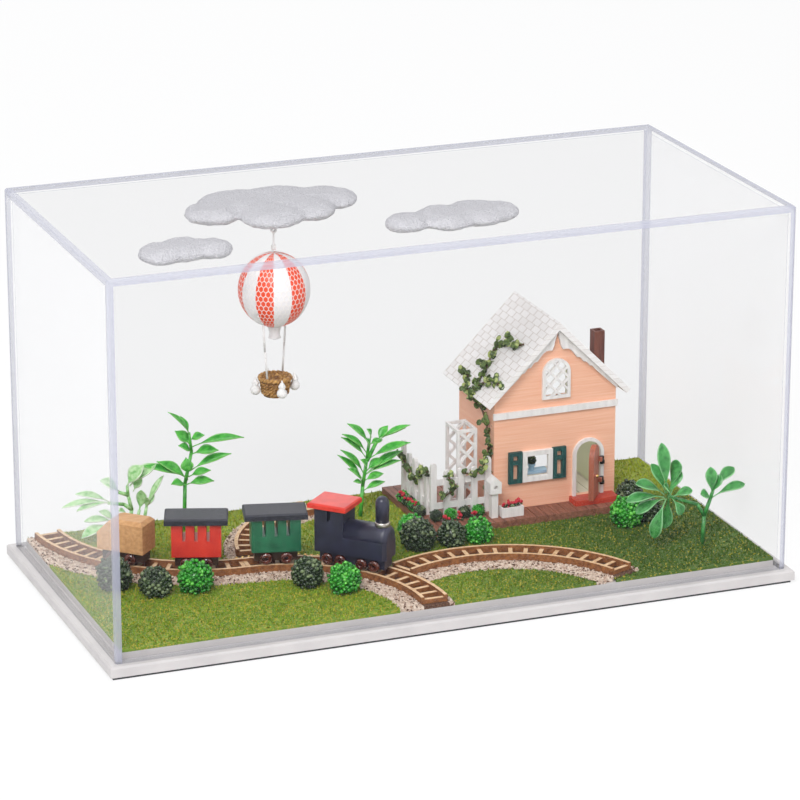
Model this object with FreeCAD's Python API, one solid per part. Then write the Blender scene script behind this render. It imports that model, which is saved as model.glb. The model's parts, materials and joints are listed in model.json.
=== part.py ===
# Display case: a clear lift-off cover over a base tray that carries a railway garden scene.
# Millimetres. +X to the right, +Z up, the front faces -Y.
# The origin is the middle of the underside.
import FreeCAD
import Part
import math
import os

V = FreeCAD.Vector
X_AXIS = V(1, 0, 0)
Y_AXIS = V(0, 1, 0)
Z_AXIS = V(0, 0, 1)
ORIGIN = V(0, 0, 0)

# Case
case_length = 240.0
case_depth = 120.0
mat_thickness = 1.0
mat_inset = 1.0
flange_thickness = 3.5
flange_chamfer = 0.6
flange_rim = 2.5
platform_rise = 2.5
platform_clearance = 1.0
tray_skin = 2.0
tray_rib = 1.6
tray_columns = 6
tray_rows = 3
cover_wall = 2.0
cover_height = 126.5
cover_edge_chamfer = 0.6

# Ground
turf_thickness = 1.0
ballast_thickness = 1.2
ballast_near_margin = 7.5
ballast_far_margin = 1.8
ballast_rear_margin = 3.5
ballast_end_margin = 2.5
gravel_segments = 9

# Track, a ladder of two rails and its ties
rail_gauge = 8.0
rail_width = 1.2
rail_height = 2.4
tie_width = 1.4
tie_height = 1.5
tie_spacing = 5.0

# Track plan: the main line runs in an S from the left edge of the platform to its front edge
# The branch leaves it at its front end, and the rear line leaves it behind the coaches
track_side_margin = 2.0
track_front_margin = 1.66
left_radius = 56.0
left_start = -177.0
inflection = -93.0
right_radius = 50.0
branch_offset = V(72.25, -16.35, 0)
branch_radius = 49.5
branch_front_margin = 5.02
branch_start = 116.4
rear_offset = V(42.8, -50.6, 0)
rear_radius = 40.6
rear_angles = (99.8, 170.6)

# Vehicles
vehicle_width = 9.3
wheel_radius = 2.1
wheel_width = 1.8
wheel_sides = 14
axle_radius = 0.5
axle_clearance = 0.05
rail_clearance = 0.05
wheel_clearance = 0.3
underframe_depth = 1.2
coach_length = 16.5
coach_height = 11.5
coach_wheelbase = 6.8
coach_slot_width = 1.1
coach_slot_depth = 6.0
coach_slot_pitch = 4.0
coach_slots = 3
roof_board = 2.2
roof_board_chamfer = 0.5
coach_roof_end = 2.3
coach_roof_side = 1.2
wagon_length = 17.0
wagon_height = 11.0
wagon_end_slope = 5.0
wagon_chamfer = 1.2
loco_length = 26.0
loco_frame_height = 6.0
loco_front_chamfer = 1.2
loco_axle_inner = 3.9
loco_axle_outer = 8.6
cab_length = 10.5
cab_height = 9.5
cab_slot_length = 4.5
cab_roof_thickness = 1.8
cab_roof_margin = 1.8
boiler_radius = 4.5
boiler_rise = 0.8
boiler_front_chamfer = 1.4
chimney_radius = 2.3
chimney_sides = 16
chimney_rings = 4
chimney_length = 9.9
chimney_setback = 3.2
chimney_band_height = 1.0
chimney_band_lip = 0.25

# Places of the vehicles along the track, as angles about their curve's centre
wagon_angle = -134.6
red_angle = -109.7
green_angle = 75.3
loco_angle = 43.7

# House
house_mid = 64.25
house_back_margin = 7.5
house_width = 45.5
house_depth = 32.0
house_wall = 2.0
house_wall_height = 41.0
roof_pitch = 45.0
roof_thickness = 2.0
eave_overhang = 4.1
gable_overhang = 3.0
back_overhang = 5.0
barge_thickness = 1.4
barge_slit = ((0.25, 0.6), (0.45, 2.2), (1.1, 3.5), (1.25, 4.5))
barge_cusps = ((2.05, 5.4), (7.4, 3.5), (9.9, 2.9), (12.2, 2.3), (14.3, 1.8))
barge_hollow = 0.26
barge_hollow_steps = 5
barge_edge = 1.2
string_height = 2.3
string_level = 33.2
string_proud = 0.8
string_past = 0.5
frame_lap = 0.7

# Openings in the front wall, from the middle of the house and from the deck
attic_width = 10.4
attic_level = 38.6
attic_spring = 47.8
attic_border = 1.1
attic_bar = 0.8
attic_bars = 3
attic_pitch = 3.3
attic_proud = 1.0
window_offset = -6.85
window_width = 11.2
window_level = 9.6
window_height = 11.0
window_border = 1.7
window_proud = 1.4
shelf_depth = 4.0
shelf_thickness = 1.2
shelf_rise = 0.7
pot_offset = -7.0
pot_radius = 1.3
pot_foot_radius = 0.9
pot_height = 2.2
pot_ball_radius = 1.6
pot_sides = 8
shutter_width = 5.0
shutter_height = 11.4
shutter_thickness = 1.2
shutter_gap = 0.1
shutter_border = 1.4
shutter_square = 1.8
door_offset = 12.45
door_width = 11.6
door_spring = 16.9
door_border = 1.2
door_frame_proud = 1.0
door_leaf_thickness = 1.8
door_leaf_clearance = 0.3
door_open_angle = 54.0
door_knob_radius = 0.7
door_knob_height = 9.0
hinge_pin_radius = 0.4
hinge_bore_clearance = 0.05
hinge_barrel_radius = 0.75
hinge_barrel_sides = 10
hinge_barrel_height = 1.3
hinge_barrel_gap = 0.1
hinge_pin_standoff = 0.9
hinge_levels = (5.0, 12.5)
step_depth = 6.0
step_height = 1.9
step_left = 1.0
step_right = 3.6

# Chimney of the house
stack_width = 3.9
stack_depth = 3.9
stack_offset = 21.7
stack_setback = 14.0
stack_above_eaves = 15.6
flue_wall = 0.8
flue_depth = 4.0

# Garden
deck_thickness = 2.4
deck_left = 49.85
deck_right = 23.75
deck_front = 10.5
deck_back = 5.0
deck_board = 3.9
deck_groove_width = 0.3
deck_groove_depth = 0.4
fence_corner = 44.75
fence_front_length = 20.2
fence_side_length = 27.0
fence_setback = 0.6
picket_width = 2.2
picket_thickness = 1.2
picket_height = 17.0
picket_bays = 4
picket_side_bays = 5
post_extra = 3.0
fence_rail_height = 2.2
fence_rail_levels = (3.0, 11.5)
arbour_mid = 31.05
arbour_width = 7.4
arbour_height = 29.5
arbour_setback = 4.0
arbour_span = 10.0
arbour_thickness = 1.0
lattice_pitch = 4.0
lattice_bar = 1.0
lattice_border = 1.0
birdhouse_offset = 24.95
birdhouse_front = 5.3
birdhouse_post = 1.2
birdhouse_post_height = 9.0
birdhouse_width = 4.2
birdhouse_wall_height = 4.0
birdhouse_gable = 2.0
birdhouse_hole = 0.7
birdhouse_hole_depth = 1.4
box_length = 8.0
box_depth = 4.0
box_height = 3.4
box_wall = 0.6
box_soil = 0.6
box_offset = 22.6
box_front = 7.6
flower_radius = 0.95
flower_sides = 6
flower_rings = 4
flower_setout = 2.0

# Foam bushes on the turf: place and radius, along the main line and before the house
bush_sink = 0.15
bush_sides = 8
bush_rings = 5
dark_track_bushes = ((-48.9, -57.3, 6.0), (-38.3, -67.9, 5.3), (11.3, -77.7, 5.5))
bright_track_bushes = ((-24.9, -69.1, 5.8), (20.8, -87.2, 5.4))
dark_house_bushes = ((-58.35, -19.4, 6.0), (-46.55, -20.4, 4.8), (26.25, -5.1, 4.7), (26.55, -21.5, 4.0))
bright_house_bushes = ((-36.65, -20.4, 4.7), (-56.45, -8.4, 4.6), (16.75, -23.6, 5.6))
shrub_radius = 2.1
shrub_pitch = 5.2
shrub_count = 4
shrub_clearance = 0.3
shrub_sides = 7
shrub_rings = 4

# Plastic plants: two in the bend of the main line, one beside the house and one in the right front corner
# A stem has its top above the foot, leaf length, leaf width, count of leaves, and the share of it left bare
stem_radius = 0.8
leaf_thickness = 0.5
leaf_turn = 137.5
leaf_lowest = 5.0
leaf_highest = 75.0
leaf_depth = 0.55
broad_offset = V(-30.1, -10.5, 0)
broad_stems = ((V(-1.5, -1.0, 10.0), 17.0, 5.0, 8, 0.5),)
palm_offset = V(-10.1, -12.5, 0)
palm_stems = ((V(2.0, 0.0, 31.0), 15.0, 2.8, 10, 0.45),)
low_palm_offset = V(-62.25, 18.0, 0)
low_palm_stems = ((V(1.0, 0.0, 24.0), 14.0, 2.8, 10, 0.4),)
spoon_side_margin = 16.3
spoon_front_margin = 17.0
spoon_stems = ((V(-11.0, 4.5, 17.5), 12.5, 4.6, 8, 0.75), (V(4.6, 3.0, 16.5), 10.0, 3.8, 6, 0.55))

# Ivy on the left wall near its front corner, round the eaves and over the left slope of the roof
# Each run over the roof is a list of places from the point where the stem comes over the eaves
ivy_radius = 0.4
ivy_leaf_radius = 1.25
ivy_leaf_thickness = 0.4
ivy_leaf_pitch = 3.9
ivy_standoff = 0.9
ivy_setback = 4.5
ivy_climb = 25.0
ivy_lean = 4.5
ivy_lean_rise = 8.0
ivy_eave_clearance = 1.2
ivy_eave_setback = 10.5
ivy_roof_runs = (
    ((2.5, 1.2), (6.0, 3.4), (10.4, 7.6), (16.1, 5.5)),
    ((3.8, -3.3), (5.0, -7.9)),
    ((0.6, 5.5), (2.2, 10.0), (3.0, 17.0)),
)

# Clouds under the ceiling: lobes as offsets from the cloud's middle, with a radius
cloud_thickness = 5.5
cloud_bevel = 1.6
cloud_sides = 14
large_cloud_offset = V(2.9, 14.0, 0)
large_cloud_lobes = ((-20.0, -3.0, 9.5), (-9.0, 4.0, 14.0), (5.0, 3.0, 15.5), (20.0, 1.5, 11.5), (-3.0, -13.0, 10.5), (10.0, -9.0, 10.0))
left_cloud_margins = V(34.5, 35.5, 0)
left_cloud_lobes = ((-8.0, -1.0, 7.0), (0.5, 1.5, 8.5), (8.5, -1.0, 6.5))
right_cloud_offset = V(-49.25, -27.0, 0)
right_cloud_lobes = ((-17.5, -3.0, 7.0), (-3.0, -1.5, 11.0), (8.0, 0.0, 11.0), (15.5, -1.0, 6.8))

# Balloon, hung from the large cloud above the bend of the main line
balloon_offset = V(11.5, -46.5, 0)
loop_wire_radius = 0.4
loop_clearance = 0.05
loop_drop = 1.8
loop_length = 3.2
eye_radius = 1.0
eye_width = 1.2
eye_sides = 12
thread_radius = 0.3
thread_length = 5.9
envelope_radius = 12.0
envelope_height = 25.2
envelope_gores = 16
envelope_rings = 9
neck_top_radius = 2.2
neck_bottom_radius = 1.6
neck_length = 4.0
rope_radius = 0.35
rope_attach_angle = 52.0
rope_count = 2
rope_turn = 40.0
basket_top_radius = 5.0
basket_bottom_radius = 4.2
basket_height = 6.0
basket_wall = 0.9
basket_rim_radius = 1.1
basket_drop = 14.0
basket_sides = 16
sandbag_radius = 1.7
sandbag_length = 5.0
sandbag_clearance = 0.15
sandbag_sides = 8

# Levels and outlines worked out from the sizes above
flange_top = mat_thickness + flange_thickness
platform_top = flange_top + platform_rise
cover_length = case_length - 2 * flange_rim
cover_depth = case_depth - 2 * flange_rim
platform_length = cover_length - 2 * (cover_wall + platform_clearance)
platform_depth = cover_depth - 2 * (cover_wall + platform_clearance)
cover_top = flange_top + cover_height
ceiling = cover_top - cover_wall
turf_top = platform_top + turf_thickness
ballast_top = platform_top + ballast_thickness
rail_top = ballast_top + rail_height
track_half = (rail_gauge + rail_width) / 2
front_left = V(-platform_length / 2, -platform_depth / 2, 0)
front_right = V(platform_length / 2, -platform_depth / 2, 0)
left_centre = V(track_side_margin + track_half + left_radius - platform_length / 2, platform_depth / 2, 0)
right_centre = left_centre + V(math.cos(math.radians(inflection)), math.sin(math.radians(inflection)), 0) * (
    left_radius + right_radius
)
right_start = inflection + 180
right_end = math.degrees(math.asin((front_left.y + track_front_margin - right_centre.y) / right_radius))
branch_centre = right_centre + branch_offset
branch_end = math.degrees(math.asin((front_left.y + branch_front_margin - branch_centre.y) / branch_radius))
branch_angles = (branch_end, branch_start)
rear_centre = left_centre + rear_offset
axle_level = rail_clearance + wheel_radius
body_level = axle_level + wheel_radius + wheel_clearance
underframe_half = rail_gauge / 2 - wheel_width / 2 - wheel_clearance
deck_top = turf_top + deck_thickness
house_front = platform_depth / 2 - house_back_margin - house_depth
house_place = V(house_mid, house_front, 0)
arbour_front = house_front + arbour_setback
house_left = house_mid - house_width / 2
house_right = house_mid + house_width / 2
house_back = house_front + house_depth
eaves_level = deck_top + house_wall_height
roof_slope = math.tan(math.radians(roof_pitch))
roof_cos = math.cos(math.radians(roof_pitch))
roof_sin = math.sin(math.radians(roof_pitch))
gable_level = eaves_level + house_width / 2 * roof_slope
ridge_level = gable_level + roof_thickness / roof_cos
step_top = deck_top + step_height
door_mid = house_mid + door_offset
door_opening = door_width - 2 * door_border
hinge_x = door_mid + door_opening / 2
hinge_y = house_front - door_frame_proud - hinge_pin_standoff
plants = (
    (left_centre + broad_offset, broad_stems),
    (left_centre + palm_offset, palm_stems),
    (house_place + low_palm_offset, low_palm_stems),
    (front_right + V(-spoon_side_margin, spoon_front_margin, 0), spoon_stems),
)
balloon_place = left_centre + balloon_offset
large_cloud_middle = balloon_place + large_cloud_offset
left_cloud_middle = front_left + left_cloud_margins
right_cloud_middle = house_place + right_cloud_offset
cloud_bottom = ceiling - cloud_thickness
upper_loop = cloud_bottom - loop_drop
lower_loop = upper_loop - thread_length
envelope_top = lower_loop - loop_drop
envelope_middle = envelope_top - envelope_height / 2
envelope_bottom = envelope_top - envelope_height
basket_top = envelope_bottom - neck_length - basket_drop


def box(x0, x1, y0, y1, z0, z1):
    return Part.makeBox(x1 - x0, y1 - y0, z1 - z0, V(x0, y0, z0))


def rod(radius, start, end):
    return Part.makeCylinder(radius, (end - start).Length, start, end - start)


def ring(radius, level, sides):
    """Corners of a regular polygon about the Z axis."""
    turns = [2 * math.pi * (side + 0.5) / sides for side in range(sides)]
    return [V(radius * math.cos(turn), radius * math.sin(turn), level) for turn in turns]


def facet(points):
    return Part.Face(Part.makePolygon(points + points[:1]))


def faceted(profile, sides):
    """Solid of flat facets through regular polygons, from a profile of (radius, level) pairs."""
    rings = [ring(radius, level, sides) for radius, level in profile]
    faces = [facet(rings[0]), facet(rings[-1])]
    for lower, upper in zip(rings, rings[1:]):
        for side in range(sides):
            after = (side + 1) % sides
            faces.append(facet([lower[side], lower[after], upper[after], upper[side]]))
    solid = Part.makeSolid(Part.makeShell(faces))
    if solid.Volume < 0:
        solid.reverse()
    return solid


def egg(radius, height, sides, rings):
    """Profile of a faceted egg about its middle, cut short at both ends."""
    steps = [math.pi * (step + 0.5) / rings - math.pi / 2 for step in range(rings)]
    return faceted([(radius * math.cos(s), height / 2 * math.sin(s) / math.sin(steps[-1])) for s in steps], sides)


def bar(radius, start, end, sides=6):
    """Slim straight piece with a many-sided section."""
    piece = faceted([(radius, 0), (radius, (end - start).Length)], sides)
    piece.Placement = FreeCAD.Placement(start, FreeCAD.Rotation(Z_AXIS, end - start))
    return piece


def fuse(shapes):
    joined = shapes[0].multiFuse(shapes[1:]) if len(shapes) > 1 else shapes[0]
    return joined.removeSplitter()


def largest(shape):
    """The biggest solid of a cut, without the offcuts."""
    return max(shape.Solids, key=lambda solid: solid.Volume)


def plate(outline, y0, y1):
    """Flat plate from an outline of (x, z) points, standing between two depths."""
    return facet([V(x, y0, z) for x, z in outline]).extrude(V(0, y1 - y0, 0))


def arch(middle, width, bottom, spring, y0, y1):
    """Plate with straight sides and a half-round head."""
    left = middle - width / 2
    right = middle + width / 2
    head = Part.Arc(V(right, y0, spring), V(middle, y0, spring + width / 2), V(left, y0, spring))
    sides = Part.makePolygon([V(left, y0, spring), V(left, y0, bottom), V(right, y0, bottom), V(right, y0, spring)])
    return Part.Face(Part.Wire(sides.Edges + [head.toShape()])).extrude(V(0, y1 - y0, 0))


def curved_strip(centre, inner, outer, angles, z0, z1):
    """Flat strip between two arcs about one centre."""
    middle = centre + V(0, 0, z0)
    arcs = [Part.makeCircle(radius, middle, Z_AXIS, *angles) for radius in (inner, outer)]
    ends = [Part.makeLine(*(arc.valueAt(arc.ParameterRange[end]) for arc in arcs)) for end in (0, 1)]
    wire = Part.Wire(Part.__sortEdges__(arcs + ends))
    return Part.Face(wire).extrude(V(0, 0, z1 - z0))


def gravel_strip(centre, inner, outer, angles):
    """Strip of gravel along a curve, its edges laid in short straight lengths."""
    start, end = angles
    turns = [start + (end - start) * step / gravel_segments for step in range(gravel_segments + 1)]
    points = [on_curve(centre, inner, turn) for turn in turns]
    points += [on_curve(centre, outer, turn) for turn in reversed(turns)]
    strip = facet(points).extrude(V(0, 0, ballast_thickness))
    strip.translate(V(0, 0, platform_top))
    return strip


def on_curve(centre, radius, angle):
    turn = math.radians(angle)
    return centre + V(math.cos(turn), math.sin(turn), 0) * radius


def placed(shape, place, heading):
    moved = shape.copy()
    moved.Placement = FreeCAD.Placement(place, FreeCAD.Rotation(Z_AXIS, heading))
    return moved


def rounded_top_edges(shape, level):
    """Edges that lie in the plane z = level."""
    return [edge for edge in shape.Edges if all(abs(v.Z - level) < 1e-6 for v in edge.Vertexes)]


# Case
def make_mat():
    half_x = case_length / 2 - mat_inset
    half_y = case_depth / 2 - mat_inset
    return box(-half_x, half_x, -half_y, half_y, 0, mat_thickness)


def make_tray():
    """Flange and raised platform, moulded hollow below with a grid of ribs."""
    flange = box(-case_length / 2, case_length / 2, -case_depth / 2, case_depth / 2, mat_thickness, flange_top)
    flange = flange.makeChamfer(flange_chamfer, rounded_top_edges(flange, flange_top))
    half_x = platform_length / 2
    half_y = platform_depth / 2
    tray = flange.fuse(box(-half_x, half_x, -half_y, half_y, mat_thickness, platform_top)).removeSplitter()
    cell_x = (platform_length - 2 * tray_skin - (tray_columns - 1) * tray_rib) / tray_columns
    cell_y = (platform_depth - 2 * tray_skin - (tray_rows - 1) * tray_rib) / tray_rows
    for column in range(tray_columns):
        for row in range(tray_rows):
            x = -half_x + tray_skin + column * (cell_x + tray_rib)
            y = -half_y + tray_skin + row * (cell_y + tray_rib)
            tray = tray.cut(box(x, x + cell_x, y, y + cell_y, mat_thickness, platform_top - tray_skin))
    return tray


def make_cover():
    half_x = cover_length / 2
    half_y = cover_depth / 2
    outside = box(-half_x, half_x, -half_y, half_y, flange_top, cover_top)
    soft = [edge for edge in outside.Edges if any(v.Z > flange_top + cover_wall for v in edge.Vertexes)]
    outside = outside.makeChamfer(cover_edge_chamfer, soft)
    inner_x = half_x - cover_wall
    inner_y = half_y - cover_wall
    return outside.cut(box(-inner_x, inner_x, -inner_y, inner_y, flange_top, ceiling))


# Ground
def make_ballast():
    """Strips of gravel under every track, cut off at the edge of the platform."""
    near = track_half + ballast_near_margin
    far = track_half + ballast_far_margin
    rear = track_half + ballast_rear_margin
    past = math.degrees(ballast_end_margin / right_radius)
    strips = (
        (left_centre, left_radius - far, left_radius + near, (left_start - past, inflection)),
        (right_centre, right_radius - near, right_radius + far, (right_end - past, right_start)),
        (branch_centre, branch_radius - near, branch_radius + far, (branch_angles[0] - past, branch_angles[1] + past)),
        (rear_centre, rear_radius - rear, rear_radius + rear, (rear_angles[0] - past, rear_angles[1] + past)),
    )
    bed = fuse([gravel_strip(*strip) for strip in strips])
    half_x = platform_length / 2
    half_y = platform_depth / 2
    return bed.common(box(-half_x, half_x, -half_y, half_y, platform_top, ballast_top))


def make_turf(ballast):
    half_x = platform_length / 2
    half_y = platform_depth / 2
    return box(-half_x, half_x, -half_y, half_y, platform_top, turf_top).cut(ballast)


def make_track(centre, radius, angles):
    """Two bent rails with ties set between them, like a ladder."""
    rails = []
    for side in (-1, 1):
        middle = radius + side * rail_gauge / 2
        half = rail_width / 2
        rails.append(curved_strip(centre, middle - half, middle + half, angles, ballast_top, rail_top))
    start, end = angles
    end_turn = math.degrees(tie_width / 2 / (radius - track_half))
    count = int(math.radians(end - start) * radius / tie_spacing)
    half = rail_gauge / 2
    ties = []
    for index in range(count + 1):
        turn = start + end_turn + (end - start - 2 * end_turn) * index / count
        tie = box(-half, half, -tie_width / 2, tie_width / 2, 0, tie_height)
        ties.append(placed(tie, on_curve(centre, radius, turn) + V(0, 0, ballast_top), turn))
    return fuse(rails + ties)


# Train: every vehicle is drawn along +X, with its origin on the rails below its middle
def make_wheelset(along):
    """Two bead wheels on a wire axle across the vehicle."""
    centre = V(along, 0, axle_level)
    inner = rail_gauge / 2 - wheel_width / 2
    outer = inner + wheel_width
    solids = [rod(axle_radius, centre - Y_AXIS * inner, centre + Y_AXIS * inner)]
    for side in (-1, 1):
        across = Y_AXIS * side
        solids.append(bar(wheel_radius, centre + across * inner, centre + across * outer, wheel_sides))
    return fuse(solids)


def with_underframe(body, length, axles):
    """Adds the narrow block below a body that the axles run through."""
    half = length / 2 - wheel_radius / 2
    block = box(-half, half, -underframe_half, underframe_half, axle_level - underframe_depth, body_level)
    joined = body.fuse(block).removeSplitter()
    for along in axles:
        side = Y_AXIS * vehicle_width
        centre = V(along, 0, axle_level)
        joined = joined.cut(rod(axle_radius + axle_clearance, centre - side, centre + side))
    return joined


def coach_axles():
    return (-coach_wheelbase / 2, coach_wheelbase / 2)


def loco_axles():
    return (-loco_axle_outer, -loco_axle_inner, loco_axle_inner, loco_axle_outer)


def make_coach_body():
    """Block with saw cuts from the top for windows."""
    half_x = coach_length / 2
    half_y = vehicle_width / 2
    top = body_level + coach_height
    body = box(-half_x, half_x, -half_y, half_y, body_level, top)
    for index in range(coach_slots):
        middle = (index - (coach_slots - 1) / 2) * coach_slot_pitch
        half = coach_slot_width / 2
        body = body.cut(box(middle - half, middle + half, -half_y, half_y, top - coach_slot_depth, top))
    return with_underframe(body, coach_length, coach_axles())


def make_roof_board(x0, x1, half_y, bottom, thickness):
    board = box(x0, x1, -half_y, half_y, bottom, bottom + thickness)
    return board.makeChamfer(roof_board_chamfer, rounded_top_edges(board, bottom + thickness))


def make_coach_roof():
    half_x = coach_length / 2 + coach_roof_end
    half_y = vehicle_width / 2 + coach_roof_side
    return make_roof_board(-half_x, half_x, half_y, body_level + coach_height, roof_board)


def make_wagon_body():
    """Plain block, planed to a slope at its rear end and eased along its top edges."""
    half_x = wagon_length / 2
    half_y = vehicle_width / 2
    top = body_level + wagon_height
    outline = [
        (-half_x, body_level),
        (half_x, body_level),
        (half_x, top),
        (-half_x + wagon_end_slope, top),
        (-half_x, top - wagon_end_slope),
    ]
    body = plate(outline, -half_y, half_y)
    body = body.makeChamfer(wagon_chamfer, rounded_top_edges(body, top))
    return with_underframe(body, wagon_length, coach_axles())


def make_loco_frame():
    half_x = loco_length / 2
    half_y = vehicle_width / 2
    block = box(-half_x, half_x, -half_y, half_y, body_level, body_level + loco_frame_height)
    front = [e for e in block.Edges if all(abs(v.X - half_x) < 1e-6 for v in e.Vertexes)]
    upright = [e for e in front if abs(e.Vertexes[0].Y - e.Vertexes[1].Y) < 1e-6]
    block = block.makeChamfer(loco_front_chamfer, upright)
    return with_underframe(block, loco_length, loco_axles())


def cab_front():
    return -loco_length / 2 + cab_length


def make_boiler():
    """Round boiler with an eased nose, planed flat where it lies on the frame."""
    frame_top = body_level + loco_frame_height
    axis = frame_top + boiler_rise
    nose = loco_length / 2
    boiler = rod(boiler_radius, V(cab_front(), 0, axis), V(nose, 0, axis))
    front = [edge for edge in boiler.Edges if all(v.X > nose - 1e-6 for v in edge.Vertexes)]
    boiler = boiler.makeChamfer(boiler_front_chamfer, front)
    half_y = vehicle_width / 2
    return boiler.common(box(cab_front(), nose, -half_y, half_y, frame_top, axis + boiler_radius))


def make_cab():
    frame_top = body_level + loco_frame_height
    half_y = vehicle_width / 2
    top = frame_top + cab_height
    cab = box(-loco_length / 2, cab_front(), -half_y, half_y, frame_top, top)
    middle = -loco_length / 2 + cab_length / 2
    half = coach_slot_width / 2
    return cab.cut(box(middle - half, middle + half, -half_y, half_y, top - cab_slot_length, top))


def make_cab_roof():
    top = body_level + loco_frame_height + cab_height
    half_y = vehicle_width / 2 + cab_roof_margin
    return make_roof_board(
        -loco_length / 2 - cab_roof_margin, cab_front() + cab_roof_margin, half_y, top, cab_roof_thickness
    )


def make_chimney(boiler):
    """Domed chimney with a band at its foot, its foot cut to the curve of the boiler."""
    foot = body_level + loco_frame_height + boiler_rise
    crown = foot + boiler_radius + chimney_length - chimney_radius
    band = chimney_radius + chimney_band_lip
    band_top = foot + boiler_radius + chimney_band_height
    profile = [(band, foot), (band, band_top), (chimney_radius, band_top + chimney_band_lip), (chimney_radius, crown)]
    for step in range(1, chimney_rings):
        turn = math.radians(90 * step / chimney_rings)
        profile.append((chimney_radius * math.cos(turn), crown + chimney_radius * math.sin(turn)))
    chimney = faceted(profile, chimney_sides)
    chimney.translate(V(loco_length / 2 - chimney_setback, 0, 0))
    return largest(chimney.cut(boiler))


# House
def gable_outline():
    """Outline of the gable wall, as (x, z) points."""
    return [
        (house_left, deck_top),
        (house_right, deck_top),
        (house_right, eaves_level),
        (house_mid, gable_level),
        (house_left, eaves_level),
    ]


def attic_levels():
    return deck_top + attic_level, deck_top + attic_spring


def window_span():
    middle = house_mid + window_offset
    return middle - window_width / 2, middle + window_width / 2


def window_levels():
    return deck_top + window_level, deck_top + window_level + window_height


def door_spring_level():
    return deck_top + door_spring


def make_front_wall():
    y0 = house_front
    y1 = house_front + house_wall
    wall = plate(gable_outline(), y0, y1)
    bottom, spring = attic_levels()
    wall = wall.cut(arch(house_mid, attic_width - 2 * frame_lap, bottom + frame_lap, spring, y0, y1))
    left, right = window_span()
    low, high = window_levels()
    wall = wall.cut(box(left + frame_lap, right - frame_lap, y0, y1, low + frame_lap, high - frame_lap))
    return wall.cut(arch(door_mid, door_width - 2 * frame_lap, step_top, door_spring_level(), y0, y1))


def make_side_walls():
    walls = []
    for side in (-1, 1):
        outer = house_mid + side * house_width / 2
        inner = outer - side * house_wall
        outline = [
            (outer, deck_top),
            (inner, deck_top),
            (inner, eaves_level + house_wall * roof_slope),
            (outer, eaves_level),
        ]
        walls.append(plate(outline, house_front + house_wall, house_back))
    return Part.makeCompound(walls)


def make_window_plant():
    """Shelf behind the main window, with a clipped ball plant in a pot."""
    left, right = window_span()
    low, high = window_levels()
    inside = house_front + house_wall
    top = low + window_border + shelf_rise
    shelf = box(left, right, inside, inside + shelf_depth, top - shelf_thickness, top)
    pot = faceted([(pot_foot_radius, 0), (pot_radius, pot_height)], pot_sides)
    ball = egg(pot_ball_radius, 2 * pot_ball_radius, pot_sides, bush_rings)
    ball.translate(Z_AXIS * (pot_height + pot_ball_radius * (1 - bush_sink)))
    plant = fuse([pot, ball])
    plant.translate(V(house_mid + pot_offset, inside + shelf_depth / 2, top))
    return Part.makeCompound([shelf, plant])


def make_roof_panels():
    """Two slopes that meet in a mitre at the ridge, each ending square at the eaves."""
    panels = []
    for side in (-1, 1):
        reach = house_width / 2 + eave_overhang * roof_cos
        foot_z = gable_level - reach * roof_slope
        outline = [
            (house_mid, gable_level),
            (house_mid + side * reach, foot_z),
            (house_mid + side * (reach + roof_thickness * roof_sin), foot_z + roof_thickness * roof_cos),
            (house_mid, ridge_level),
        ]
        panels.append(plate(outline, house_front - gable_overhang, house_back + back_overhang))
    return Part.makeCompound(panels)


def barge_profile():
    """Lower edge of a bargeboard, as distances from the middle of the gable and drops below its slope."""
    edge = list(barge_slit)
    for (offset, drop), (next_offset, next_drop) in zip(barge_cusps, barge_cusps[1:]):
        span = next_offset - offset
        for step in range(barge_hollow_steps):
            share = step / barge_hollow_steps
            hollow = barge_hollow * span * math.sin(math.pi * share)
            edge.append((offset + span * share, drop + (next_drop - drop) * share - hollow))
    edge.append(barge_cusps[-1])
    edge.append((house_width / 2, barge_edge))
    return edge


def make_bargeboards():
    """Two boards under the front edge of the roof, with a pendant beside the apex and scallops that die away."""
    boards = []
    top_offset = barge_slit[0][0]
    for side in (-1, 1):
        outline = [(house_mid + side * house_width / 2, eaves_level)]
        outline.append((house_mid + side * top_offset, gable_level - top_offset * roof_slope))
        for offset, drop in barge_profile():
            outline.append((house_mid + side * offset, gable_level - offset * roof_slope - drop))
        boards.append(plate(outline, house_front - barge_thickness, house_front))
    return Part.makeCompound(boards)


def make_string_course():
    bottom = deck_top + string_level
    return box(
        house_left - string_past,
        house_right + string_past,
        house_front - string_proud,
        house_front,
        bottom,
        bottom + string_height,
    )


def make_window_frames():
    """Attic window with a diagonal lattice, and the square window below it."""
    y0 = house_front - attic_proud
    bottom, spring = attic_levels()
    inside = arch(house_mid, attic_width - 2 * attic_border, bottom + attic_border, spring, y0, house_front)
    border = arch(house_mid, attic_width, bottom, spring, y0, house_front).cut(inside)
    centre = V(house_mid, 0, (bottom + spring + attic_width / 2) / 2)
    reach = attic_width * 2
    bars = []
    for turn in (45, -45):
        for index in range(attic_bars):
            offset = (index - (attic_bars - 1) / 2) * attic_pitch
            slat = box(-reach, reach, y0, house_front, offset - attic_bar / 2, offset + attic_bar / 2)
            slat.rotate(ORIGIN, Y_AXIS, turn)
            slat.translate(centre)
            bars.append(slat.common(inside))
    attic = fuse([border] + bars)
    left, right = window_span()
    low, high = window_levels()
    front = house_front - window_proud
    window = box(left, right, front, house_front, low, high)
    opening = box(
        left + window_border, right - window_border, front, house_front, low + window_border, high - window_border
    )
    return Part.makeCompound([attic, window.cut(opening)])


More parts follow.
